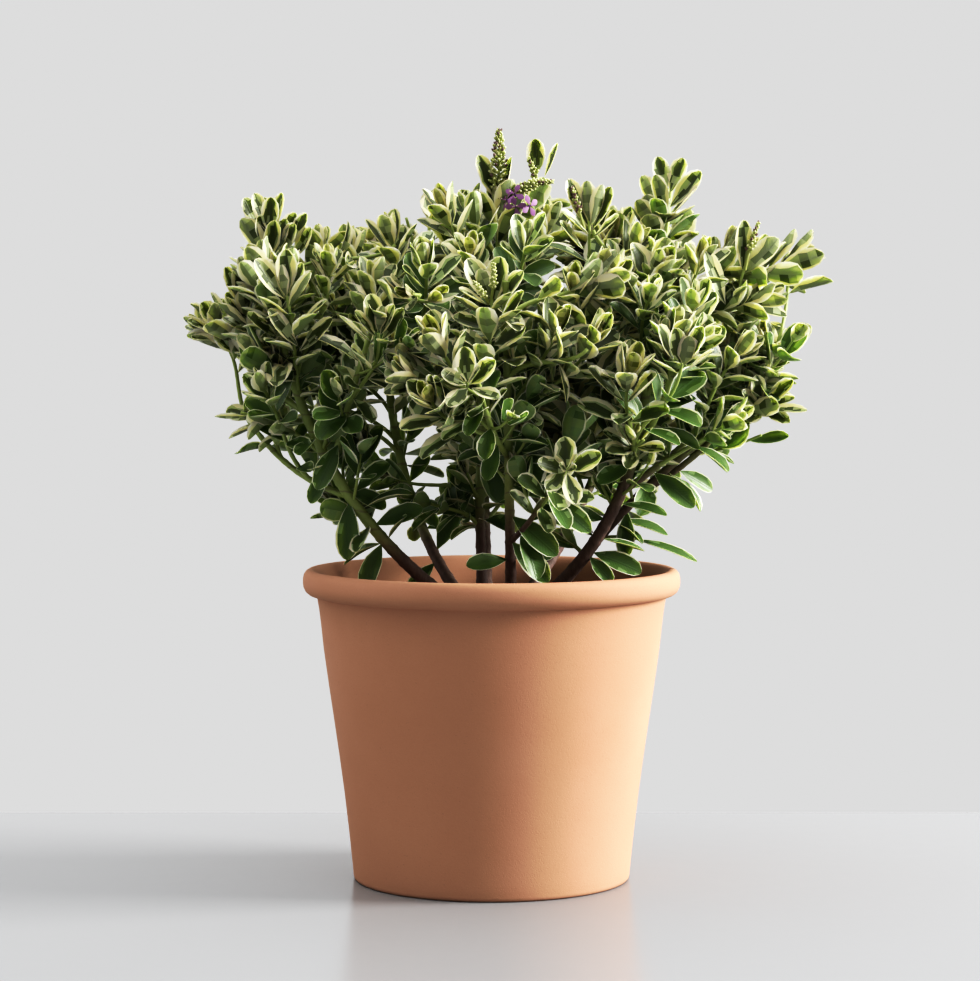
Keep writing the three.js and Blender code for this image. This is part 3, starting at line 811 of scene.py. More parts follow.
class Hebe:
    """The whole plant, grown by a seeded rule from its stems, boughs and masses."""

    def __init__(self, sizes):
        self.sizes = sizes
        self.view_height = bpy.context.scene.hebe_stage.height
        self.random = random.Random(sizes.seed)
        self.limbs, self.carriers = {}, {}
        self.twigs, self.leaves = [], []
        self.main_tips = [shoot_tip(row) for row in MAIN_SHOOTS]
        self.main_tips += [shoot_tip(row, ROSETTE_RISE) for row in ROSETTES]
        self.main_places = np.array([tip for tip, _, _ in self.main_tips])
        self.grow_limbs()
        for name in crown_nodes():
            self.carriers[name] = self.carrier(name)
        for row in MAIN_SHOOTS:
            self.grow_to(*shoot_tip(row), SHOOT_REACH)
        for row in LOW_SHOOTS:
            self.grow_to(*shoot_tip(row), LOW_SHOOT_REACH, tone_shift=2)
        for row in ROSETTES:
            tip, facing, _ = shoot_tip(row)
            self.grow_to(tip, facing, 1.0, SHOOT_REACH, first_rank=ROSETTE_RANK)
        for rows in PLACED_LEAVES.values():
            for row in rows:
                self.place_leaf(row)
        for name in crown_nodes():
            self.grow_mass(name)
        for limb in self.limbs.values():
            self.grow_low_leaves(limb)
            self.grow_side_shoots(limb)
        self.clear_wood()
        for row in LOW_LEAVES:
            self.place_low_leaf(*row)
        self.grow_long_twig(*LONG_TWIG)
        # The back draws from a seed of its own, so that a change there leaves the front as it is.
        self.random = random.Random(sizes.seed + 1)
        self.grow_back()

    def draw(self, limits):
        return self.random.uniform(*limits)

    def spread(self, amount):
        return self.random.uniform(-amount, amount)

    def scatter(self, amount):
        return np.array([self.spread(amount) for _ in range(3)])

    def add_twig(self, points, steps, thick):
        twig = Limb(bent_line(points, steps), thick)
        self.twigs.append(twig)
        return twig

    def grow_limbs(self):
        for name, (foot, *shape) in STEMS.items():
            self.limbs[name] = bowed_limb(at_heading(*foot, SOIL_TOP), *shape, STEM_STEPS)
        for name, ((stem, share), *shape) in BOUGHS.items():
            start = self.limbs[stem].line[round(share * STEM_STEPS)]
            self.limbs[name] = bowed_limb(start, *shape, BOUGH_STEPS)

    def carrier(self, name):
        """The wood that brings a mass its shoots: its own limb, or a twig off the nearest."""
        for limb_name, (_, mass, _, _) in {**STEMS, **BOUGHS}.items():
            if mass == name:
                return self.limbs[limb_name]
        middle = mass_shape(name)[0]

        def cost(point):
            """How far the mass's middle is, and more where the way there hardly rises."""
            rise = middle[2] - point[2]
            return np.linalg.norm(middle - point) + 2.0 * max(0.0, LEAST_RISE - rise)

        limbs = [self.limbs[limb_name] for limb_name in sorted(self.limbs)]
        limb, spot = best_spot(limbs, TWIG_WOOD, cost)
        start = limb.point(spot)
        reach = np.linalg.norm(middle - start)
        way = unit(middle - start)
        leave = start + unit(limb.heading(spot) + 0.8 * way) * reach * 0.4
        arrive = middle - unit(way + 0.8 * UP) * reach * 0.3
        thick = (2 * limb.radius(spot) / MM * CARRIER_SHARE, CARRIER_TIP)
        twig = self.add_twig([start, leave, arrive, middle], 16, thick)
        self.grow_low_leaves(twig)
        return twig

    def grow_to(self, tip, facing, vigour, reach, tone_shift=0, first_rank=0):
        """A shoot to the tip from the nearest wood to where it should begin."""
        wanted = tip - facing * reach - UP * reach * SHOOT_DROP
        limbs = (*self.limbs.values(), *self.carriers.values())
        limb, spot = nearest_spot(limbs, ANY_WOOD, wanted)
        self.grow_shoot(limb, spot, tip, facing, tone_shift, vigour, first_rank)

    def grow_mass(self, name):
        """Shoots evenly spread over a mass, that lean the way the mass stands out."""
        middle, half = mass_shape(name)
        outward = unit(middle - UP * self.sizes.crown_heart)
        lean = unit(0.8 * outward + 0.45 * UP)
        share = next((share for part, share in MASS_SHARES.items() if part in name), 1.0)
        count = max(3, round(share * (float(np.mean(half)) / self.sizes.shoot_room) ** 2))
        turn = self.random.uniform(0, 2 * math.pi)
        side = unit(np.cross(lean, UP + 0.01))
        across = np.cross(lean, side)
        reach = np.maximum(half - self.sizes.leaf_reach, LEAST_HALF)
        for index in range(count):
            height = 1 - (index + 0.5) / count * 1.2
            ring = math.sqrt(max(0.0, 1 - height * height))
            way = unit(height * lean + ring * turned(turn + index * GOLDEN_TURN, side, across))
            tip = middle + way * reach * (1 + self.spread(0.15))
            facing = unit(0.5 * way + 0.5 * outward + 0.42 * UP + self.scatter(0.16))
            vigour = self.draw(SHOOT_VIGOURS)
            if self.is_free(tip):
                wanted = tip - MASS_SHOOT_REACH * facing
                limb, spot = nearest_spot([self.carriers[name]], CARRIER_WOOD, wanted)
                self.grow_shoot(limb, spot, tip, facing, int("core" in name), vigour)

    def is_free(self, tip):
        """False in an opening, or where a shoot would stand in a main shoot or hide it."""
        for across, height, radius in OPENINGS:
            if math.hypot(tip[0] - across * MM, tip[2] - height * MM) < radius * MM:
                return False
        for main, facing, vigour in self.main_tips:
            gap = tip - main
            below = min(max(-np.dot(gap, facing), 0.0), MAIN_DEPTH)
            if np.linalg.norm(gap + below * facing) < MAIN_ROOM * vigour * MM:
                return False
            if gap[1] < 0 and math.hypot(gap[0], gap[2]) < MAIN_VIEW * vigour * MM:
                return False
        return True

    def grow_shoot(self, limb, spot, tip, facing, shift, vigour, first_rank=0):
        """One leafy shoot from the limb to a tip, with its rosette and older leaf pairs."""
        start = limb.point(spot)
        reach = max(np.linalg.norm(tip - start), 8 * MM)
        leave = start + unit(limb.heading(spot) + unit(tip - start)) * reach * 0.35
        arrive = tip - facing * reach * 0.45
        twig = self.add_twig([start, leave, arrive, tip], 14, SHOOT_THICK)
        shift += self.random.choice((0, 0, 0, 1))
        stretch = DARK_STRETCH if shift == 2 else 1.0
        self.leaf_out(twig, shift, vigour, SHOOT_KEEPS, stretch, first_rank)

    def leaf_out(self, twig, tone_shift, vigour, kept, stretch, first_rank=0):
        """Sets crossed pairs of leaves down a shoot from its tip."""
        turn = self.random.uniform(0, math.pi)
        reference = unit(np.cross(twig.heading(twig.length), np.array([0.31, 0.77, 0.2])))
        for rank, distance in enumerate(PAIR_DISTANCES):
            below = distance * vigour * stretch * MM
            if below > twig.length * 0.95:
                break
            if rank < first_rank:
                continue
            spot = twig.length - below
            axis = twig.heading(min(spot, twig.length - 2 * MM))
            first = unit(reference - axis * np.dot(reference, axis))
            angle = turn + rank * math.pi / 2 + self.spread(0.12)
            for side in (0, math.pi):
                if rank > FULL_RANKS and self.random.random() > kept:
                    continue
                radial = turned(angle + side, first, np.cross(axis, first))
                self.set_leaf(twig, spot, axis, radial, rank, tone_shift, vigour)

    def set_leaf(self, twig, spot, axis, radial, rank, tone_shift, vigour):
        opening = math.radians(PAIR_OPENINGS[rank] + self.spread(7))
        along = turned(opening, axis, radial)
        face = math.sin(opening) * axis - math.cos(opening) * radial
        lift = 0.10 * rank / 4
        along = unit(along + self.scatter(0.05) - UP * 0.02 * rank)
        face = unit(face + UP * lift + self.scatter(0.10))
        length = PAIR_LENGTHS[rank] * vigour * self.draw(LEAF_LENGTHS) * MM
        width = length * (self.sizes.leaf_width_share * self.draw(LEAF_WIDTHS))
        place = twig.point(spot) + radial * twig.radius(spot) * 0.6
        tone = min(OLD, PAIR_TONES[rank] + (tone_shift if rank > 1 else min(tone_shift, 1)))
        bend = math.radians(PAIR_BENDS[rank] + self.spread(12))
        fold = self.draw(LEAF_FOLDS)
        variant = self.random.choice(TONE_VARIANTS[tone])
        self.leaves.append(Leaf(place, along, face, length, width, bend, fold, tone, variant))

    def grow_low_leaves(self, limb):
        """Old leaves in loose pairs along a limb, above the pot's rim."""
        spot = 0.16 * limb.length
        turn = self.random.uniform(0, math.pi)
        rank = 0
        while spot < limb.length - 20 * MM:
            axis = limb.heading(spot)
            first = unit(np.cross(axis, np.array([0.2, 0.3, 0.9])))
            angle = turn + rank * math.pi / 2 + self.spread(0.3)
            for side in (0, math.pi):
                low = limb.point(spot)[2] < LOW_LEAVES_FROM
                if low or self.random.random() > self.sizes.low_leaf_share:
                    continue
                radial = turned(angle + side, first, np.cross(axis, first))
                self.set_old_leaf(limb, spot, axis, radial)
            spot += self.draw(OLD_GAPS) * MM
            rank += 1

    def set_old_leaf(self, limb, spot, axis, radial):
        opening = math.radians(self.draw(OLD_OPENINGS))
        along = unit(turned(opening, axis, radial) - UP * self.draw(OLD_DROOPS))
        face = unit(math.sin(opening) * axis - math.cos(opening) * radial + 0.5 * UP)
        length = self.draw(OLD_LENGTHS) * MM
        width = length * (self.sizes.leaf_width_share * self.draw(OLD_WIDTHS))
        place = limb.point(spot) + radial * limb.radius(spot) * 0.8
        bend = math.radians(self.draw(OLD_BENDS))
        fold = self.draw(OLD_FOLDS)
        tone = self.random.choice((2, 3, 3, 3))
        variant = self.random.choice(TONE_VARIANTS[tone])
        if place[2] > OLD_LEAVES_TO:
            tone, variant = YOUNG, variant % OLD_FROM
        self.leaves.append(Leaf(place, along, face, length, width, bend, fold, tone, variant))

    def grow_side_shoots(self, limb):
        """Short leafy shoots from the sides of a limb, above the pot's rim."""
        spot = 0.12 * limb.length
        turn = self.random.uniform(0, 2 * math.pi)
        while spot < limb.length - 12 * MM:
            spot += self.draw(SIDE_GAPS) * MM
            turn += SIDE_TURN
            place = limb.point(spot)
            in_reach = SIDE_SHOOTS_FROM < place[2] < SIDE_SHOOTS_TO
            if not in_reach or self.random.random() > self.sizes.side_shoot_share:
                continue
            axis = limb.heading(spot)
            first = unit(np.cross(axis, np.array([0.2, 0.3, 0.9])))
            outward = unit(turned(turn, first, np.cross(axis, first)) + 0.5 * axis)
            tip = place + unit(outward + 0.55 * UP) * self.draw(SIDE_LENGTHS) * MM
            if self.is_free(tip):
                twig = self.add_twig([place, place + outward * 10 * MM, tip], 8, SIDE_THICK)
                self.leaf_out(twig, 2, self.draw(SIDE_VIGOURS), SIDE_KEEPS, SIDE_STRETCH)

    def place_leaf(self, row):
        foot, tip, facing = metres(row[:3]), metres(row[3:6]), np.array(row[7:10]) / 10
        width, variant = row[6] * MM, row[10]
        bend, tone = (0.3, OLD) if variant >= OLD_FROM else (-0.25, YOUNG)
        length = np.linalg.norm(tip - foot)
        leaf = Leaf(foot, tip - foot, facing, length, width, bend, NARROW_FOLD, tone, variant)
        self.leaves.append(leaf)

    def place_low_leaf(self, limb_name, share, heading, lift, length, upward=0.55):
        limb = self.limbs[limb_name]
        spot = share * limb.length
        along = direction(heading, lift)
        facing = np.array([0.0, -1.0, upward])
        place = limb.point(spot) + unit(along - 0.5 * UP) * limb.radius(spot) * 0.8
        bend = math.radians(self.draw(LOW_BENDS))
        variant = self.random.choice(TONE_VARIANTS[OLD])
        length, width = length * MM, length * OLD_WIDTH_SHARE * MM
        leaf = Leaf(place, along, facing, length, width, bend, NARROW_FOLD, OLD, variant)
        self.leaves.append(leaf)

    def clear_wood(self):
        """Takes away the leaves in the gaps and most of those that hide the low wood."""
        wood = [
            limb.point(spot)
            for limb in self.limbs.values() for spot in np.arange(0, limb.length, 4 * MM)
        ]
        wood = np.array([
            place for place in wood
            if place[2] < WOOD_IN_SIGHT_TO and place[1] < WOOD_IN_SIGHT_BEHIND
        ])
        wood_seen = seen_from_front(wood)
        gaps = metres(GAPS) - np.array([0, self.view_height])
        kept = []
        for leaf in self.leaves:
            middle = leaf.point(0.5)
            seen = seen_from_front(np.array([middle, leaf.point(0.85)]))
            if any(np.linalg.norm(gaps - spot, axis=1).min() < GAP_RADIUS for spot in seen):
                continue
            near = np.linalg.norm(wood_seen - seen[0], axis=1) < WOOD_CLEARANCE
            hides = (near & (wood[:, 1] > middle[1])).any()
            stays = self.on_main(middle, MAIN_ROSETTE) or not hides
            if stays or self.random.random() < HIDING_SHARE:
                kept.append(leaf)
        self.leaves = kept

    def on_main(self, place, reach):
        return np.linalg.norm(self.main_places - place, axis=1).min() < reach

    def grow_long_twig(self, limb_name, share, end):
        limb = self.limbs[limb_name]
        start, end = limb.point(share * limb.length), metres(end)
        self.add_twig([start, (start + end) / 2 + UP * 3 * MM, end], 8, LONG_THICK)

    def grow_back(self):
        """Broad shoots over the back and the sides, where what stands in front hides them."""
        screen = Screen(self.leaves)
        front, self.leaves = self.leaves, []
        for tip, way in self.skin_tips():
            facing = unit(way + 0.5 * UP + self.scatter(0.2))
            vigour = self.draw(BACK_VIGOURS)
            if self.on_main(tip, SKIN_CLEARANCE):
                continue
            before = len(self.leaves)
            self.grow_to(tip, facing, vigour, SHOOT_REACH)
            if screen.hides(self.twigs[-1].line[4:]).mean() < HIDDEN_SHARE:
                self.twigs.pop()
                del self.leaves[before:]
        points = np.array([leaf.point(share) for leaf in self.leaves for share in (0.3, 0.65, 1.0)])
        hidden = screen.hides(points).reshape(-1, 3).all(axis=1)
        self.leaves = front + [leaf for leaf, keep in zip(self.leaves, hidden) if keep]

    def skin_tips(self):
        """Tips evenly spread just inside a skin that is drawn over the masses and their gaps."""
        rise = 1 - (np.arange(CROWN_WAYS) + 0.5) / CROWN_WAYS * 2
        turn = np.arange(CROWN_WAYS) * GOLDEN_TURN
        ring = np.sqrt(1 - rise * rise)
        ways = np.stack([ring * np.cos(turn), ring * np.sin(turn), rise], axis=1)
        masses = [far_side(ways, *mass_shape(name)) for name in crown_nodes()]
        reaches = np.max(masses, axis=0)
        near = math.cos(math.radians(NEIGHBOUR_ANGLE))
        for way, reach in zip(ways, reaches):
            around = np.sort(reaches[ways @ way > near])
            skin = max(reach, around[len(around) // 2:].mean() * 0.98) - SKIN_DEPTH
            if way[1] > BEHIND_FROM and way[2] > BEHIND_FROM and skin > SKIN_FROM:
                yield CROWN_MIDDLE + way * skin + self.scatter(6 * MM), way


GROWN = {}


def grown_hebe():
    """The plant for the seed that is set; it is grown once and shared by the operators."""
    sizes = bpy.context.scene.hebe_plant
    if sizes.seed not in GROWN:
        GROWN[sizes.seed] = Hebe(sizes)
    return GROWN[sizes.seed]


# ---- Leaves ----

# Where rows of points cross a leaf, as shares of its length, and the widths of its outline.
YOUNG_ROWS = (0.10, 0.28, 0.48, 0.67, 0.85, 0.97)
OLD_ROWS = (0.08, 0.22, 0.38, 0.56, 0.74, 0.89, 0.975)
OUTLINE_SHARES = (0.0, 0.10, 0.2, 0.33, 0.46, 0.59, 0.71, 0.83, 0.92, 0.965, 1.0)
OUTLINE_WIDTHS = (0.0, 0.26, 0.52, 0.78, 0.94, 1.0, 0.97, 0.86, 0.66, 0.46, 0.0)
# The parts of a leaf with colours of their own, the order in which they cross its two sides,
# and how deep the three points of an underside's row lie, as shares of its thickness.
ZONES = ("centre", "grey", "margin", "under", "under_margin")
TOP_ZONES = ("margin", "grey", "centre", "centre", "grey", "margin")
UNDER_ZONES = ("under_margin", "under", "under", "under_margin")
UNDER_DEPTHS = (0.6, 1.0, 0.6)
TOP_COUNT = 7
ROW_COUNT = TOP_COUNT + len(UNDER_DEPTHS)
# The least that the green middle reaches out, and the least width of the patches beside it.
LEAST_CENTRE = 0.08
LEAST_GREY = 0.12
LEAF_THICKNESS = 0.75 * MM
LEAF_UV = "OFBake"


class LeafShape:
    """One outline with its cream margin and grey-green patches, as unit points and faces."""

    def __init__(self, number):
        self.chance = random.Random(900 + number)
        self.old = number >= OLD_FROM
        self.rows = OLD_ROWS if self.old else YOUNG_ROWS
        # How far out the margin begins, how uneven it is, and how far out it begins below.
        if self.old:
            inward, uneven, reach = 0.86 + 0.015 * (number - OLD_FROM), 0.04, 0.88
        else:
            inward, uneven, reach = 0.52 + 0.028 * number, 0.23, 0.66
        self.margin = self.borders(inward, uneven)
        self.centre = self.borders(inward - 0.24, 0.22)
        self.under_margin = self.borders(reach, uneven)
        self.points, self.marks = [], []
        self.add_point(0.0, 0.0, 0.0)
        for row in range(len(self.rows)):
            self.add_row(row)
        self.add_point(1.0, 0.0, 0.0)
        self.faces, self.zones, self.under = [], [], []
        for row in range(-1, len(self.rows)):
            self.add_faces(row)

    def borders(self, middle, spread):
        """How far out a zone ends at each row, left and right of the midrib."""
        draw = self.chance.uniform
        return [[middle + draw(-spread, spread) for _ in self.rows] for _ in range(2)]

    def add_point(self, share, place, width, depth=0.0):
        self.points.append((share, place * width, depth))
        self.marks.append((share, place))

    def add_row(self, row):
        """A row of points across the leaf: seven on its upper side, three on its underside."""
        share = self.rows[row]
        uneven = 1 + self.chance.uniform(-0.04, 0.04)
        width = 0.5 * np.interp(share, OUTLINE_SHARES, OUTLINE_WIDTHS) * uneven
        left, right = self.margin[0][row], self.margin[1][row]
        left_centre = max(LEAST_CENTRE, min(self.centre[0][row], left - LEAST_GREY))
        right_centre = max(LEAST_CENTRE, min(self.centre[1][row], right - LEAST_GREY))
        for place in (-1, -left, -left_centre, 0, right_centre, right, 1):
            self.add_point(share, place, width)
        under = (-self.under_margin[0][row], 0.0, self.under_margin[1][row])
        taper = min(1.0, 0.35 + 1.3 * min(share, 1 - share) * 2)
        for place, depth in zip(under, UNDER_DEPTHS):
            self.add_point(share, place, width, depth * taper)

    def index(self, row, column):
        if row < 0:
            return 0
        if row >= len(self.rows):
            return len(self.points) - 1
        return 1 + row * ROW_COUNT + column

    def add_faces(self, row):
        for column, zone in enumerate(TOP_ZONES):
            self.add_face(row, column, column + 1, self.fleck(zone, row), False)
        columns = (0, *range(TOP_COUNT, ROW_COUNT), TOP_COUNT - 1)
        for column, zone in enumerate(UNDER_ZONES):
            if zone == "under":
                zone = self.chance.choices(("under", "grey", "centre"), (5, 4, 1))[0]
            self.add_face(row, columns[column + 1], columns[column], zone, True)

    def fleck(self, zone, row):
        """Now and then a patch takes its neighbour's colour, and the tip is all margin."""
        if zone == "grey" and self.old:
            return "grey" if self.chance.random() < 0.3 else "centre"
        if zone == "grey" and row == len(self.rows) - 1:
            return "margin"
        if zone == "grey" and self.chance.random() < 0.30:
            return "centre"
        if zone == "centre" and not self.old and self.chance.random() < 0.24:
            return "grey"
        if zone == "margin" and not self.old and row > 0 and self.chance.random() < 0.07:
            return "grey"
        return zone

    def add_face(self, row, first, second, zone, under):
        ring = [(row + 1, second), (row + 1, first), (row, first), (row, second)]
        self.faces.append(list(dict.fromkeys(self.index(*corner) for corner in ring)))
        self.zones.append(ZONES.index(zone))
        self.under.append(under)


def leaf_points(shape, leaves):
    """All leaves of one shape at once: folds, bends and places the unit points."""

    def column(name):
        return np.array([getattr(leaf, name) for leaf in leaves])[:, None]

    share, aside, depth = (part[None] for part in np.array(shape.points).T)
    length, width, fold, bend = (column(name) for name in ("length", "width", "fold", "bend"))
    bend = np.where(np.abs(bend) < 0.02, 0.02, bend)
    across = aside * width
    depth = depth * LEAF_THICKNESS * np.clip(length / 0.03, 0.5, 1.0)
    cup = 0.5 * across**2 / np.maximum(width, 1e-6)
    lift = fold * np.abs(across) * 0.7 + cup - depth
    angle = bend * share
    forward = length * np.sin(angle) / bend + lift * np.sin(angle)
    upward = -length * (1 - np.cos(angle)) / bend + lift * np.cos(angle)
    place, along, face = (column(name) for name in ("place", "along", "face"))
    points = place + forward[..., None] * along
    points = points + across[..., None] * np.cross(face, along) + upward[..., None] * face
    return points.reshape(-1, 3)


def leaf_uv(shape):
    """The same flat layout for every leaf: upper side below, underside above."""
    corners = []
    for face, under in zip(shape.faces, shape.under):
        for share, place in (shape.marks[corner] for corner in face):
            corners.append((0.03 + 0.94 * share, (0.75 if under else 0.25) + 0.22 * place))
    return np.array(corners)


def build_leaf_piece(name, leaves, shapes, materials):
    """Joins leaves into one mesh, each with its shape's faces in its tone's colours."""
    parts, offset = [], 0
    for variant, shape in enumerate(shapes):
        chosen = [leaf for leaf in leaves if leaf.variant == variant]
        if not chosen:
            continue
        points = leaf_points(shape, chosen)
        counts = [len(face) for face in shape.faces]
        corners = np.concatenate(shape.faces)
        starts = offset + np.arange(len(chosen)) * len(shape.points)
        tones = np.array([leaf.tone for leaf in chosen])
        parts.append((
            points,
            np.tile(counts, len(chosen)),
            (corners[None] + starts[:, None]).ravel(),
            (tones[:, None] * len(ZONES) + np.array(shape.zones)[None]).ravel(),
            np.tile(leaf_uv(shape), (len(chosen), 1)),
        ))
        offset += len(points)
    points, counts, corners, slots, uv = (np.concatenate(part) for part in zip(*parts))
    mesh = bpy.data.meshes.new(name)
    fill_mesh(mesh, points, counts, corners)
    mesh.uv_layers.new(name=LEAF_UV).data.foreach_set("uv", uv.astype(np.float32).ravel())
    return finish_mesh(name, mesh, materials, slots, True)


# ---- Settings ----


def colour_setting(name, description, default):
    return FloatVectorProperty(
        name=name, description=description, default=default, subtype="COLOR", min=0.0, max=1.0
    )


def length_setting(name, description, default):
    return FloatProperty(
        name=name, description=description, default=default, unit="LENGTH", precision=4
    )


def number_setting(name, description, default, subtype="NONE", unit="NONE"):
    return FloatProperty(
        name=name, description=description, default=default, subtype=subtype, unit=unit
    )


class HebePotSettings(PropertyGroup):
    """Sizes and colours of the pot and the potting mix."""

    foot_radius: length_setting("Foot radius", "Radius of the pot's underside", 88.4 * MM)
    wall: length_setting("Wall", "Thickness of the pot's wall", 8 * MM)
    floor: length_setting("Floor", "Thickness of the pot's floor", 12 * MM)
    clay: colour_setting("Clay", "Colour of the fired clay", (0.48, 0.268, 0.175))
    clay_pale: colour_setting("Pale clay", "Paler clouds in the clay", (0.53, 0.312, 0.21))
    soil: colour_setting("Potting mix", "Colour of the potting mix", (0.035, 0.022, 0.014))
    soil_pale: colour_setting("Bark chips", "Bark chips in the mix", (0.13, 0.075, 0.04))
    grit: colour_setting("Grit", "Grit in the mix", (0.36, 0.33, 0.28))


class HebePlantSettings(PropertyGroup):
    """Sizes of the plant and the seed that it grows from."""

    seed: IntProperty(name="Seed", description="The seed that it grows from", default=7, min=0)
    crown_heart: length_setting("Crown heart", "Height that shoots point away from", 235 * MM)
    shoot_room: length_setting("Shoot room", "Half the room of one shoot's rosette", 9 * MM)
    leaf_reach: length_setting("Leaf reach", "How far leaves stand past a shoot's tip", 19 * MM)
    leaf_width_share: number_setting(
        "Leaf width", "A leaf's width as a share of its length", 0.51, "FACTOR"
    )
    side_shoot_share: number_setting(
        "Side shoots", "Share of a limb's buds that have shot", 0.66, "FACTOR"
    )
    low_leaf_share: number_setting(
        "Low leaves", "Share of the old leaves that are still on", 0.75, "FACTOR"
    )


# The colours of each tone's leaves: green middle, grey-green patches, underside and margin.
LEAF_COLOURS = {
    "tip": (
        (0.132, 0.145, 0.0387), (0.338, 0.349, 0.164), (0.262, 0.262, 0.125), (0.691, 0.622, 0.346)
    ),
    "young": (
        (0.0653, 0.0864, 0.0248), (0.322, 0.355, 0.21), (0.208, 0.236, 0.133), (0.717, 0.661, 0.415)
    ),
    "grown": (
        (0.0689, 0.105, 0.0289), (0.361, 0.425, 0.232), (0.255, 0.301, 0.152), (0.765, 0.738, 0.495)
    ),
    "old": (
        (0.0816, 0.146, 0.036), (0.197, 0.281, 0.12), (0.235, 0.307, 0.131), (0.765, 0.792, 0.531)
    ),
}
COLOURED_ZONES = {
    "centre": "Middle", "grey": "Grey-green patches", "under": "Underside", "margin": "Margin"
}


class HebeLeafColours(PropertyGroup):
    """Colours of the leaves, from the newest at a tip to the oldest low down."""

    __annotations__ = {
        f"{tone}_{zone}": colour_setting(
            f"{tone.title()} {zone}", f"{part} of {tone} leaves", colour
        )
        for tone, colours in LEAF_COLOURS.items()
        for (zone, part), colour in zip(COLOURED_ZONES.items(), colours)
    }


class HebeBarkColours(PropertyGroup):
    """Colours of the stems, twigs and blossom."""

    old_bark: colour_setting("Old bark", "Bark at the foot of a stem", (0.10, 0.065, 0.052))
    green_bark: colour_setting("Green bark", "Bark of the younger wood", (0.34, 0.41, 0.14))
    bud: colour_setting("Bud", "Buds and stalks of the flower spikes", (0.36, 0.40, 0.14))
    calyx: colour_setting("Calyx", "Pale calyxes and bud tips", (0.70, 0.70, 0.42))
    bud_tip: colour_setting("Closed petals", "Buds about to open", (0.15, 0.095, 0.085))
    petal: colour_setting("Petal", "Petals of the open florets", (0.27, 0.12, 0.27))
    throat: colour_setting("Throat", "Middle of the open florets", (0.10, 0.03, 0.16))


class HebeStageSettings(PropertyGroup):
    """The table, the wall's brightness, the lights and the camera."""

    table: colour_setting("Table", "Colour of the table top", (0.254, 0.258, 0.262))
    wall: number_setting("Wall", "Brightness of the wall behind", 0.553)
    wall_light: number_setting("Wall light", "Light that the wall gives", 0.74)
    fill: number_setting("Fill", "Brightness of the room in front", 0.3)
    ceiling: number_setting("Ceiling", "Brightness of the room above", 2.38)
    key: number_setting("Key light", "Power of the large light", 192.0, unit="POWER")
    lens: number_setting("Lens", "Focal length", 107.6, unit="CAMERA")
    distance: length_setting("Camera distance", "From the pot's axis to the camera", 1.867)
    height: length_setting("Camera height", "Height of the camera above the table", 0.346)


# ---- Operators ----

# Tones before and after the contrast is set.
TONE_CURVE = (
    (0.0, 0.0), (0.02, 0.006), (0.05, 0.021), (0.08, 0.041), (0.11, 0.068), (0.15, 0.115),
    (0.2, 0.182), (0.3, 0.359), (0.4, 0.522), (0.55, 0.719), (0.75, 0.92), (1.0, 1.0),
)
# The place that the lights are turned to, the camera's dip in degrees and its place aside, the
# table, and the fill light's share of the key light's power.
LIT_PLACE = (0.0, 0.0, 0.25)
CAMERA_DIP = 3.0
CAMERA_ASIDE = -1 * MM
TABLE_WIDTH = 3.6
TABLE_FRONT, TABLE_REAR = -2.6, 0.256
TABLE_THICKNESS = 0.04
FILL_SHARE = 0.02


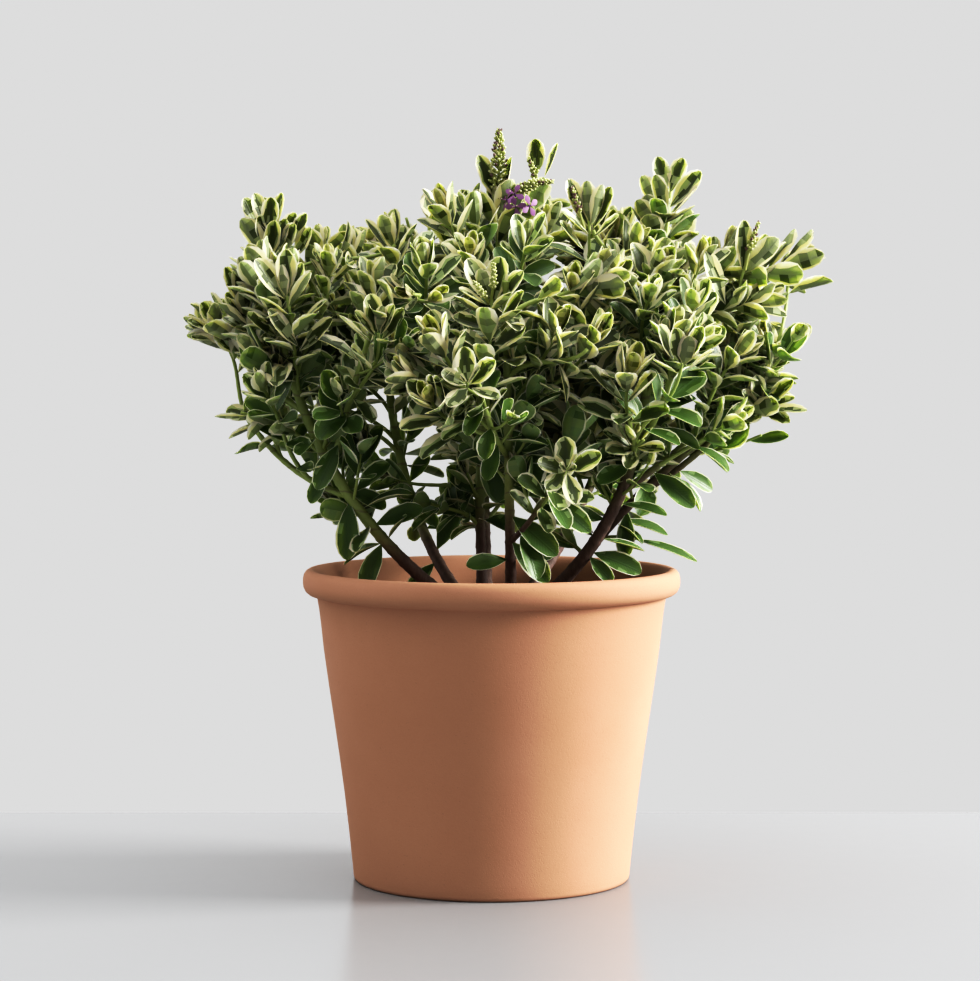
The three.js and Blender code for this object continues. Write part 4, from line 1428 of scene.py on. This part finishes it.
class HEBE_OT_stage(Operator):
    """Sets up the table, the wall's light, the lights and the camera"""

    bl_idname = "hebe.stage"
    bl_label = "Stage"

    def execute(self, context):
        settings = context.scene.hebe_stage
        self.add_camera(context.scene, settings)
        self.add_table(settings)
        self.add_room(context.scene, settings)
        key, fill = settings.key, settings.key * FILL_SHARE
        self.add_light("key_light", (2.95, -0.09, 1.34), (1.27, 1.27), key, (1.0, 0.99, 0.98))
        self.add_light("fill_light", (-1.9, -0.15, 0.8), (1.4, 1.2), fill, (0.97, 0.98, 1.0))
        self.set_contrast(context.scene.view_settings)
        return {"FINISHED"}

    def set_contrast(self, view):
        """Plain colours with a soft toe and shoulder, as a camera gives them."""
        view.view_transform = "Standard"
        view.use_curve_mapping = True
        mapping = view.curve_mapping
        mapping.use_clip = False
        curve = mapping.curves[3]
        for place in TONE_CURVE[1:-1]:
            curve.points.new(*place)
        curve.points[0].location = TONE_CURVE[0]
        curve.points[-1].location = TONE_CURVE[-1]
        mapping.update()

    def add_camera(self, scene, settings):
        data = bpy.data.cameras.new("camera")
        data.lens = settings.lens
        data.sensor_width = 36.0
        camera = bpy.data.objects.new("camera", data)
        camera.location = (CAMERA_ASIDE, -settings.distance, settings.height)
        camera.rotation_euler = (math.radians(90 - CAMERA_DIP), 0.0, 0.0)
        scene.collection.objects.link(camera)
        scene.camera = camera

    def add_table(self, settings):
        """A wide table top whose rear edge stands behind the pot."""
        deselect_all()
        bpy.ops.mesh.primitive_cube_add(size=1.0)
        table = bpy.context.object
        table.name = "table"
        for vertex in table.data.vertices:
            vertex.co.x *= TABLE_WIDTH
            vertex.co.y = TABLE_REAR if vertex.co.y > 0 else TABLE_FRONT
            vertex.co.z = 0.0 if vertex.co.z > 0 else -TABLE_THICKNESS
        bevel = table.modifiers.new("edge", "BEVEL")
        bevel.width = 2 * MM
        bevel.segments = 3
        bpy.ops.object.modifier_apply(modifier="edge")
        paint = Paint("table_top")
        cloud = paint.noise(3.0, 2.0)
        paint.set(Base_Color=paint.blend(cloud, settings.table, shade(settings.table, 0.96)))
        paint.set(Roughness=0.20 + 0.04 * paint.noise(60.0, 3.0), IOR=1.2)
        table.data.materials.append(paint.material)
        table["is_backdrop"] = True

    def add_room(self, scene, settings):
        """A pale wall for the camera and, behind the plant, for the lighting; dimmer in front."""
        scene.world = bpy.data.worlds.new("room")
        room = Paint("room", scene.world, "Background")
        _, depth, height = room.parts(room.place("Generated"))
        around = depth.between(-0.25, 0.35, settings.fill, settings.wall_light, "LINEAR")
        above = height.between(0.5, 0.95, 0.0, settings.ceiling, "LINEAR")
        seen = room.node("ShaderNodeLightPath").outputs["Is Camera Ray"]
        inputs = {0: seen, 2: around.at_least(above), 3: settings.wall}
        strength = room.node("ShaderNodeMix", inputs=inputs).outputs[0]
        room.set(Color=(1.0, 1.0, 1.0, 1.0), Strength=strength)

    def add_light(self, name, place, size, power, colour):
        data = bpy.data.lights.new(name, "AREA")
        data.shape = "RECTANGLE"
        data.size, data.size_y = size
        data.energy = power
        data.color = colour
        light = bpy.data.objects.new(name, data)
        light.location = place
        way = Vector(LIT_PLACE) - Vector(place)
        light.rotation_euler = way.to_track_quat("-Z", "Y").to_euler()
        bpy.context.scene.collection.objects.link(light)


# Height and radius of each ring in mm: the body, then the rolled rim from under its lower
# edge, up its upright face and over to the inner wall.
BODY_STATIONS = (
    (11, 89.2), (33, 91.5), (56, 94.2), (79, 97.3), (102, 100.6), (125, 104.0), (148, 107.2),
    (164, 108.9),
)
RIM_STATIONS = (
    (173.0, 110.0), (179.0, 111.0), (181.2, 111.4), (181.8, 112.4), (182.0, 114.4), (182.8, 116.6),
    (184.6, 118.7), (187.4, 120.0), (190.2, 120.3), (193.0, 120.2), (195.4, 119.6), (197.2, 118.3),
    (198.2, 116.6), (198.4, 114.8), (197.8, 112.8), (196.2, 110.2), (193.0, 107.4), (189.5, 105.2),
    (184.5, 103.4),
)
NECK = (180, 102.2)
FOOT_EDGE = ((0.0, -2.4), (0.35, -1.1), (1.2, -0.3), (2.6, 0.0))


def in_metres(stations, wall=0.0):
    return [(radius * MM - wall, height * MM) for height, radius in stations]


class HEBE_OT_pot(Operator):
    """Turns the terracotta pot, ring by ring from its foot over the rim to its floor"""

    bl_idname = "hebe.pot"
    bl_label = "Pot"

    def execute(self, context):
        settings = context.scene.hebe_pot
        profile = self.profile(settings)
        radius, height = profile[0]
        pot = add_disc("terracotta_pot", 144, radius, height)
        bpy.ops.mesh.inset(thickness=radius * 0.5)
        select_outer_edge(pot, radius)
        for (radius, height), (last_radius, last_height) in zip(profile[1:], profile[:-1]):
            extrude_ring(height - last_height, radius / last_radius, height)
        close_shell(profile[-1][0] * 0.4)
        smooth_by_angle(pot, 40)
        pot.data.materials.append(self.clay(settings))
        hand_over(pot, "terracotta", "pot")
        return {"FINISHED"}

    def profile(self, settings):
        """Radius and height of each ring, from the underside to the inner floor."""
        foot = settings.foot_radius
        rings = [(foot + inward * MM, height * MM) for height, inward in FOOT_EDGE]
        rings += in_metres((*BODY_STATIONS, *RIM_STATIONS, NECK))
        inner = [station for station in reversed(BODY_STATIONS) if station[0] > 20]
        rings += in_metres(inner, settings.wall)
        floor_radius = BODY_STATIONS[0][1] * MM - settings.wall
        rings += [(floor_radius, settings.floor + 5 * MM), (floor_radius - 4 * MM, settings.floor)]
        return rings

    def clay(self, settings):
        """Matte fired clay: pale clouds, fine pores and specks, and faint rings from turning."""
        paint = Paint("fired_clay")
        clouds = paint.noise(9.0, 4.0, 0.55)
        speckle = paint.noise(620.0, 3.0, 0.6)
        pits = paint.cells(900.0)
        rings = paint.noise(1.0, 4.0, 0.6, paint.stretched((2.0, 2.0, 170.0)))
        tint = clouds.between(0.38, 0.72) * 0.55 + speckle.between(0.35, 0.75) * 0.25
        base = paint.blend(tint, settings.clay, settings.clay_pale)
        dark = speckle.between(0.60, 0.74) * 0.35
        paint.set(Base_Color=paint.blend(dark, base, shade(settings.clay, 0.7)))
        paint.set(Roughness=0.82 + 0.12 * speckle, Specular_IOR_Level=0.32)
        height = speckle * 0.5 + rings * 0.35 + pits.between(0.0, 0.35) * 0.5
        paint.relief(height, 0.25 * MM, 0.6)
        return paint.material


SOIL_RADIUS = 101 * MM
SOIL_RINGS = 26
SOIL_RING = 3.6 * MM
# How far out the mix starts to sink, and how steeply in mm.
SINKS_FROM, SINKS_BY = 0.72, 16
# Rings of the ball below the surface: how far down, and the share of the last one's width.
BALL_RINGS = ((-60 * MM, 0.96), (-97 * MM, 0.83))
BALL_SUNK = 170 * MM
CHIPS = 620
CHIP_LENGTHS, CHIP_WIDTHS, CHIP_HEIGHTS = (1.4, 5.2), (0.35, 0.8), (0.2, 0.5)
CHIP_RISES, CHIP_TILTS, CHIP_CORNER_SHARES = (-0.6, 1.2), (-0.5, 0.5), (0.65, 1.1)
BARK_SHARE = 0.8
CHIP_CORNERS = [(x, y, z) for x in (-1, 1) for y in (-1, 1) for z in (-1, 1)]
CHIP_FACES = [(0, 1, 3, 2), (4, 6, 7, 5), (0, 4, 5, 1), (2, 3, 7, 6), (0, 2, 6, 4), (1, 5, 7, 3)]


class HEBE_OT_soil(Operator):
    """Fills the pot with crumbly potting mix, bark chips and grit"""

    bl_idname = "hebe.soil"
    bl_label = "Potting mix"

    def execute(self, context):
        settings = context.scene.hebe_pot
        soil = add_disc("potting_mix", 96, SOIL_RADIUS, 0)
        bpy.ops.mesh.select_mode(type="FACE")
        for _ in range(SOIL_RINGS):
            bpy.ops.mesh.inset(thickness=SOIL_RING)
        select_outer_edge(soil, SOIL_RADIUS)
        for fall, share in BALL_RINGS:
            extrude_ring(fall, share, 0)
        close_shell()
        self.crumble(soil)
        bpy.ops.object.shade_smooth()
        soil.data.materials.append(self.peat(settings))
        hand_over(soil, "potting_soil", "root_ball")
        hand_over(self.scatter_chips(settings), "potting_soil")
        return {"FINISHED"}

    def drop(self, reach):
        """How far the mix sinks towards the pot's wall."""
        return max(0.0, reach / SOIL_RADIUS - SINKS_FROM) * SINKS_BY

    def crumble(self, soil):
        """Lays the surface at its height, uneven and crumbly, and sets the ball under it."""
        for vertex in soil.data.vertices:
            if vertex.co.z > -1 * MM:
                place = vertex.co.copy()
                rise = 1.6 * noise.fractal(place * 60, 0.8, 2.0, 4) + 1.1 * noise.noise(place * 320)
                vertex.co.z = SOIL_TOP + (rise - self.drop(place.xy.length)) * MM - 0.3 * MM
            else:
                vertex.co.z += BALL_SUNK

    def scatter_chips(self, settings):
        chance = random.Random(41)
        points, faces, slots = [], [], []
        for _ in range(CHIPS):
            reach = SOIL_RADIUS * 0.97 * math.sqrt(chance.random())
            angle = chance.uniform(0, 2 * math.pi)
            middle = Vector((reach * math.cos(angle), reach * math.sin(angle), 0))
            middle.z = SOIL_TOP - self.drop(reach) * MM + chance.uniform(*CHIP_RISES) * MM
            size = chance.uniform(*CHIP_LENGTHS) * MM
            flat, thin = chance.uniform(*CHIP_WIDTHS), chance.uniform(*CHIP_HEIGHTS)
            shape = Vector((size, size * flat, size * thin))
            turn = Matrix.Rotation(chance.uniform(0, 6.28), 3, "Z")
            turn = turn @ Matrix.Rotation(chance.uniform(*CHIP_TILTS), 3, "X")
            start = len(points)
            for corner in CHIP_CORNERS:
                wobble = Vector([chance.uniform(*CHIP_CORNER_SHARES) for _ in range(3)])
                corner = [part * side * share for part, side, share in zip(corner, shape, wobble)]
                points.append(middle + turn @ Vector(corner) / 2)
            faces.extend([tuple(start + corner for corner in face) for face in CHIP_FACES])
            slots.extend([0 if chance.random() < BARK_SHARE else 1] * len(CHIP_FACES))
        kinds = (("bark_chip", settings.soil_pale), ("grit", settings.grit))
        materials = [self.chip_paint(*kind) for kind in kinds]
        return mesh_piece("bark_chips", points, faces, materials, slots, False)

    def chip_paint(self, name, colour):
        paint = Paint(name)
        grain = paint.noise(700.0, 3.0)
        paint.set(Base_Color=paint.blend(grain, shade(colour, 0.45), colour), Roughness=0.85)
        paint.relief(grain, 0.4 * MM, 0.6)
        return paint.material

    def peat(self, settings):
        paint = Paint("peat")
        crumbs = paint.noise(260.0, 5.0, 0.65)
        fine = paint.noise(1500.0, 2.0)
        colour = paint.blend(crumbs.between(0.45, 0.75), settings.soil, settings.soil_pale)
        paint.set(Base_Color=colour, Roughness=0.9)
        paint.relief(crumbs + fine * 0.4, 1.2 * MM, 0.9)
        return paint.material


# The step between a limb's points and between its leaf nodes, how much it swells at a node, how
# much a stem flares at its foot, and how deep in mm the foot is set, each with its reach.
LIMB_STEP = 1.4 * MM
NODE_GAP = 11 * MM
NODE_SWELL, NODE_SHARE = 0.09, 0.10
FLARE_SWELL, FLARE_REACH = 0.7, 9 * MM
FOOT_DEPTH, FOOT_REACH = 2.5, 3 * MM


class HEBE_OT_limbs(Operator):
    """Draws the stems and boughs and gives them their bark"""

    bl_idname = "hebe.limbs"
    bl_label = "Stems and boughs"

    def execute(self, context):
        data = bpy.data.curves.new("stems_and_boughs", "CURVE")
        data.dimensions = "3D"
        data.bevel_depth = 1.0
        data.bevel_resolution = 3
        data.use_fill_caps = True
        for name, limb in grown_hebe().limbs.items():
            self.draw_limb(data, limb, name in STEMS)
        drawing = bpy.data.objects.new("stems_and_boughs", data)
        context.scene.collection.objects.link(drawing)
        choose(drawing)
        bpy.ops.object.convert(target="MESH")
        limbs = context.object
        texture = bpy.data.textures.new("bark", "CLOUDS")
        texture.noise_scale = 2.4 * MM
        relief = limbs.modifiers.new("bark", "DISPLACE")
        relief.texture = texture
        relief.texture_coords = "LOCAL"
        relief.strength = 0.5 * MM
        relief.mid_level = 0.5
        bpy.ops.object.modifier_apply(modifier="bark")
        bpy.ops.object.shade_smooth()
        limbs.data.materials.clear()
        limbs.data.materials.append(self.bark(context.scene.hebe_bark))
        hand_over(limbs, "old_bark", *STEMS, *BOUGHS)
        return {"FINISHED"}

    def draw_limb(self, data, limb, is_stem):
        """A limb's curve, flared where a stem meets the soil and thicker at the leaf nodes."""
        count = int(limb.length / LIMB_STEP)
        spline = data.splines.new("POLY")
        spline.points.add(count)
        for index in range(count + 1):
            distance = index / count * limb.length
            point = limb.point(distance)
            radius = limb.radius(distance)
            if is_stem:
                radius *= 1 + FLARE_SWELL * math.exp(-distance / FLARE_REACH)
                point = point - UP * FOOT_DEPTH * MM * math.exp(-distance / FOOT_REACH)
            phase = (distance % NODE_GAP) / NODE_GAP
            radius *= 1 + NODE_SWELL * math.exp(-(((phase - 0.5) / NODE_SHARE) ** 2))
            spline.points[index].co = (*point, 1.0)
            spline.points[index].radius = radius

    def bark(self, colours):
        """Brown and ridged at the foot, smooth and green higher up, ringed by leaf scars."""
        paint = Paint("bark")
        across, _, height = paint.parts(paint.place())
        clouds = paint.noise(45.0, 3.0)
        age = (height - across * 0.3 + clouds * 0.03).between(0.232, 0.272)
        nodes = (height * 520.0 + clouds * 7.0).sine().between(0.9, 1.0) * 0.45
        fissures = paint.noise(420.0, 5.0, 0.62, paint.stretched((1.0, 1.0, 0.28)))
        old, green = colours.old_bark, colours.green_bark
        wood = paint.blend(fissures, shade(old, 0.5), shade(old, 2.4))
        green = paint.blend(clouds.between(0.4, 0.65) * 0.6, green, shade(green, 0.68))
        green = paint.blend(nodes, green, shade(old, 1.6))
        paint.set(Base_Color=paint.blend(age, wood, green), Roughness=0.72 - 0.22 * age)
        paint.relief(fissures, 0.7 * MM, 0.7)
        return paint.material


class HEBE_OT_twigs(Operator):
    """Grows the twigs that carry the leaves"""

    bl_idname = "hebe.twigs"
    bl_label = "Twigs"

    def execute(self, context):
        points, faces = [], []
        for twig in grown_hebe().twigs:
            steps = max(6, int(twig.length / (2.2 * MM)))
            distances = np.linspace(0, twig.length, steps)
            line = np.array([twig.point(distance) for distance in distances])
            radii = np.array([twig.radius(distance) for distance in distances])
            radii *= 1 + 0.12 * np.cos(np.arange(steps) * 2.1) ** 2
            add_tube(points, faces, line, radii, 6)
        colour = context.scene.hebe_bark.green_bark
        material = grained("green_twig", colour, 0.5, (300.0, 3.0), (0.3 * MM, 0.5))
        hand_over(mesh_piece("twigs", points, faces, [material]), "green_bark")
        return {"FINISHED"}


# Where the back of the crown begins, how far aside its middle reaches, and how matte a leaf is.
BACK_FROM = 35 * MM
MIDDLE_TO = 60 * MM
TOP_ROUGH, UNDER_ROUGH = 0.40, 0.62


def side_of(place):
    depth = "back_" if place[1] > BACK_FROM else "front_"
    if abs(place[0]) < MIDDLE_TO:
        return depth + "middle"
    return depth + ("left" if place[0] < 0 else "right")


class HEBE_OT_leaves(Operator):
    """Sets the leaves on their shoots, joined by the side of the crown they grow on"""

    bl_idname = "hebe.leaves"
    bl_label = "Leaves"

    def execute(self, context):
        shapes = [LeafShape(number) for number in range(LEAF_VARIANTS)]
        colours = context.scene.hebe_leaf
        materials = [self.paint(colours, tone, zone) for tone in TONES for zone in ZONES]
        for side, nodes in self.sides().items():
            leaves = [leaf for leaf in grown_hebe().leaves if side_of(leaf.place) == side]
            piece = build_leaf_piece("leaves_" + side, leaves, shapes, materials)
            smooth_by_angle(piece, 50)
            hand_over(piece, "variegated_leaves", *nodes)
        return {"FINISHED"}

    def sides(self):
        """The masses that the leaves of each side stand for."""
        across = ("left", "middle", "right")
        sides = {depth + side: [] for depth in ("front_", "back_") for side in across}
        for name in crown_nodes():
            sides[side_of(mass_shape(name)[0])].append(name)
        return sides

    def paint(self, colours, tone, zone):
        """A leathery leaf: one plain colour, with fine veins in its relief and its gloss."""
        paint = Paint(f"leaf_{tone}_{zone}")
        paint.set(Base_Color=opaque(self.colour(colours, tone, zone)), Subsurface_Weight=0.6)
        paint.set(Subsurface_Scale=1.5 * MM, Subsurface_Radius=(0.9, 1.0, 0.45))
        uv = paint.node("ShaderNodeUVMap", {"uv_map": LEAF_UV})
        along, across, _ = paint.parts(uv.outputs[0])
        out = abs(abs(across - 0.5) - 0.25)
        veins = ((along * 2.6 - out * 2.0) * 42.0).sine() * 0.5 + 0.5
        rib = 1.0 - out.between(0.0, 0.025)
        rough = UNDER_ROUGH if zone.startswith("under") else TOP_ROUGH
        paint.set(Roughness=rough + veins * 0.08)
        paint.relief(veins * 0.25 - rib * 0.8, 0.22 * MM, 0.5)
        return paint.material

    def colour(self, colours, tone, zone):
        if zone == "under_margin":
            return shade(getattr(colours, f"{tone}_margin"), 0.9)
        return getattr(colours, f"{tone}_{zone}")


# Racemes: foot, steering point and tip in mm, half its width in mm, number of buds, the
# share along it where they begin, and the share of them that are purple-brown.
RACEMES = {
    "top": ((4, 0, 420), (4.6, 0, 446), (4.8, 0, 476), 10.0, 96, 0.34, 0.45),
    "curved": ((6, -3, 419), (10, -9, 443), (38, -7, 444), 6.0, 74, 0.45, 0.04),
    "back": ((30, 35, 441), (28, 31, 452), (24, 28, 460), 4.0, 26, 0.4, 0.1),
    "right": ((159, -22, 388), (161, -26, 402), (167, -26, 417), 3.8, 32, 0.4, 0.15),
    "rosette": ((58, -31, 412), (55, -35, 424), (50, -34, 438), 3.4, 34, 0.45, 0.3),
    "heart": ((-2, -111, 366), (-4, -119, 371), (-10, -125, 378), 2.8, 24, 0.35, 0.0),
    "heart_upper": ((-1, -110, 367), (2, -117, 376), (1, -119, 389), 2.6, 28, 0.4, 0.0),
}
# How wide a raceme is at shares of its height.
RACEME_SHARES = (0.0, 0.15, 0.5, 0.8, 1.0)
RACEME_WIDTHS = (0.66, 1.0, 0.74, 0.5, 0.3)
# Where the bare green stalk beside the top raceme ends, in mm.
SPUR_END = (1.6, -2.5, 447)
# Open florets: middle in mm, and heading and lift of the way that each one faces.
FLORETS = (
    ((14.5, -19, 435.5), 255, 22), ((15.0, -21, 427.5), 268, -4), ((24.0, -19, 428.0), 300, 2),
    ((9.5, -14, 432.0), 200, 12),
)
# A bud's rings, forward and outward, and a petal's outline, along and aside, for a size of 1.
BUD_RINGS = ((-1.1, 0.0), (-0.5, 0.42), (0.3, 0.52), (1.0, 0.36), (1.35, 0.0))
BUD_SIDES = 6
PETAL_OUTLINE = (
    (0.0, 0.0), (0.28, 0.15), (0.60, 0.31), (0.86, 0.20), (1.0, 0.0), (0.86, -0.20), (0.60, -0.31),
    (0.28, -0.15),
)
GREEN, CREAM, BROWN, VIOLET, THROAT = range(5)
BLOSSOM_COLOURS = ("bud", "calyx", "bud_tip", "petal", "throat")


class HEBE_OT_blossom(Operator):
    """Makes the flower spikes and the open florets"""

    bl_idname = "hebe.blossom"
    bl_label = "Blossom"

    def execute(self, context):
        self.chance = random.Random(23)
        self.points, self.faces, self.slots = [], [], []
        stalks = {name: self.raceme(*sizes) for name, sizes in RACEMES.items()}
        self.tube(stalks["top"].point(1 * MM), metres(SPUR_END), 1.1 * MM, GREEN)
        for middle, heading, lift in FLORETS:
            self.floret(stalks["curved"], metres(middle), direction(heading, lift))
        materials = [self.paint(context.scene.hebe_bark, kind) for kind in BLOSSOM_COLOURS]
        blossom = mesh_piece("blossom", self.points, self.faces, materials, self.slots)
        smooth_by_angle(blossom, 60)
        hand_over(blossom, "flower_buds", "flower_spike")
        return {"FINISHED"}

    def raceme(self, foot, bow, tip, radius, count, first, brown):
        """Stalked buds in a spiral round a stalk, wider below and closed to a point above."""
        stalk = Limb(bent_line([metres(place) for place in (foot, bow, tip)], 16), (2.2, 1.0))
        self.add_stalk(GREEN, stalk.line, stalk.radii, 6)
        for index in range(count):
            rise = (index + 0.5) / count
            spot = (first + (1 - first) * rise) * stalk.length
            axis = stalk.heading(min(spot, stalk.length - 2 * MM))
            side = unit(np.cross(axis, np.array([0.2, 0.9, 0.1])))
            out = turned(index * GOLDEN_TURN, side, np.cross(axis, side))
            reach = radius * np.interp(rise, RACEME_SHARES, RACEME_WIDTHS)
            reach = reach * self.chance.uniform(0.62, 1.0) * MM
            way = unit(out + axis * (0.35 + 1.1 * rise))
            start = stalk.point(spot)
            size = (2.2 - 0.7 * rise) * MM * self.chance.uniform(0.85, 1.15)
            middle = start + way * max(reach - size, 0.4 * MM)
            self.tube(start, middle, 0.35 * MM, GREEN)
            self.bud(middle, way, size, self.chance.random() < brown)
        return stalk

    def add_stalk(self, slot, line, radii, sides):
        before = len(self.faces)
        add_tube(self.points, self.faces, line, radii, sides)
        self.slots.extend([slot] * (len(self.faces) - before))

    def tube(self, start, end, radius, slot):
        """A short straight stalk, left out where it would be shorter than 0.2 mm."""
        if np.linalg.norm(end - start) > 0.2 * MM:
            self.add_stalk(slot, bent_line([start, end], 2), np.array([1.1, 1.0, 0.9]) * radius, 4)

    def add_face(self, slot, *face):
        self.faces.append(face)
        self.slots.append(slot)

    def bud(self, middle, way, size, brown):
        side = unit(np.cross(way, np.array([0.37, 0.21, 0.9])))
        other = np.cross(way, side)
        start = len(self.points)
        for forward, width in BUD_RINGS:
            for corner in range(BUD_SIDES if width else 1):
                out = turned(corner * 2 * math.pi / BUD_SIDES, side, other)
                self.points.append(middle + (way * forward + out * width) * size)
        last = len(self.points) - 1
        body, tip = (BROWN, BROWN) if brown else (GREEN, CREAM)
        calyx = CREAM if self.chance.random() < 0.4 else GREEN
        rings = [start + 1 + ring * BUD_SIDES for ring in range(3)]
        for corner in range(BUD_SIDES):
            after = (corner + 1) % BUD_SIDES
            self.add_face(calyx, start, rings[0] + after, rings[0] + corner)
            for slot, here, above in zip((calyx, body), rings, rings[1:]):
                self.add_face(slot, here + corner, here + after, above + after, above + corner)
            self.add_face(tip, rings[2] + corner, rings[2] + after, last)

    def floret(self, stalk, middle, facing):
        """Four petals round a dark throat, with two stamens, on a stalk of its own."""
        spot = nearest_spot([stalk], (0.2, 0.9, 12), middle)[1]
        throat = middle - facing * 3 * MM
        self.tube(stalk.point(spot), throat, 0.4 * MM, GREEN)
        self.tube(throat, middle + facing * 0.3 * MM, 0.8 * MM, THROAT)
        side = unit(np.cross(facing, UP))
        turn = self.chance.uniform(0, 1.5)
        for number in range(4):
            angle = turn + number * math.pi / 2 + self.chance.uniform(-0.15, 0.15)
            out = turned(angle, side, np.cross(facing, side))
            along = unit(out + facing * self.chance.uniform(-0.05, 0.4))
            self.petal(middle + out * 0.4 * MM, along, facing, self.chance.uniform(5.8, 7.2) * MM)
        for lean in (-0.45, 0.45):
            way = unit(facing + side * lean)
            end = middle + way * 5 * MM
            self.tube(middle, end, 0.16 * MM, VIOLET)
            self.bud(end, way, 0.6 * MM, True)

    def petal(self, place, along, facing, length):
        """One petal, thin and slightly curled back, with a dark foot on its underside."""
        across = unit(np.cross(facing, along))
        up = np.cross(along, across)
        start = len(self.points)
        for share, aside in PETAL_OUTLINE:
            curl = -0.16 * share**2
            self.points.append(place + length * (along * share + across * aside + up * curl))
        for rise in (-0.02, -0.08):
            self.points.append(place + length * (along * 0.6 + up * rise))
        count = len(PETAL_OUTLINE)
        for corner in range(count):
            after = (corner + 1) % count
            self.add_face(VIOLET, start + corner, start + after, start + count)
            slot = THROAT if corner in (0, count - 1) else VIOLET
            self.add_face(slot, start + after, start + corner, start + count + 1)

    def paint(self, colours, kind):
        colour = getattr(colours, kind)
        return grained("blossom_" + kind, colour, 0.55, (900.0, 2.0), (0.2 * MM, 0.4))


class HEBE_PT_panel(Panel):
    """Lists the plant's settings and the steps that build it"""

    bl_idname = "HEBE_PT_panel"
    bl_label = "Potted hebe"
    bl_space_type = "VIEW_3D"
    bl_region_type = "UI"
    bl_category = "Hebe"

    def draw(self, context):
        for step in STEPS:
            self.layout.operator(step.bl_idname)
        for name in SETTINGS:
            group = getattr(context.scene, name)
            box = self.layout.box()
            for key in group.__annotations__:
                box.prop(group, key)


SETTINGS = {
    "hebe_pot": HebePotSettings,
    "hebe_plant": HebePlantSettings,
    "hebe_leaf": HebeLeafColours,
    "hebe_bark": HebeBarkColours,
    "hebe_stage": HebeStageSettings,
}
STEPS = (
    HEBE_OT_stage, HEBE_OT_pot, HEBE_OT_soil, HEBE_OT_limbs, HEBE_OT_twigs, HEBE_OT_leaves,
    HEBE_OT_blossom,
)
CLASSES = (*SETTINGS.values(), *STEPS, HEBE_PT_panel)


def register():
    for kind in CLASSES:
        bpy.utils.register_class(kind)
    for name, kind in SETTINGS.items():
        setattr(bpy.types.Scene, name, PointerProperty(type=kind))


def unregister():
    for name in SETTINGS:
        delattr(bpy.types.Scene, name)
    for kind in reversed(CLASSES):
        bpy.utils.unregister_class(kind)


def write_sizes():
    boxes = {"cad": CAD_BOX, "visual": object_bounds()}
    {key: [list(corner) for corner in box] for key, box in boxes.items()}


def main():
    register()
    bpy.ops.hebe.stage()
    bpy.ops.hebe.pot()
    bpy.ops.hebe.soil()
    bpy.ops.hebe.limbs()
    bpy.ops.hebe.twigs()
    bpy.ops.hebe.leaves()
    bpy.ops.hebe.blossom()
    write_sizes()


if __name__ == "__main__":
    main()
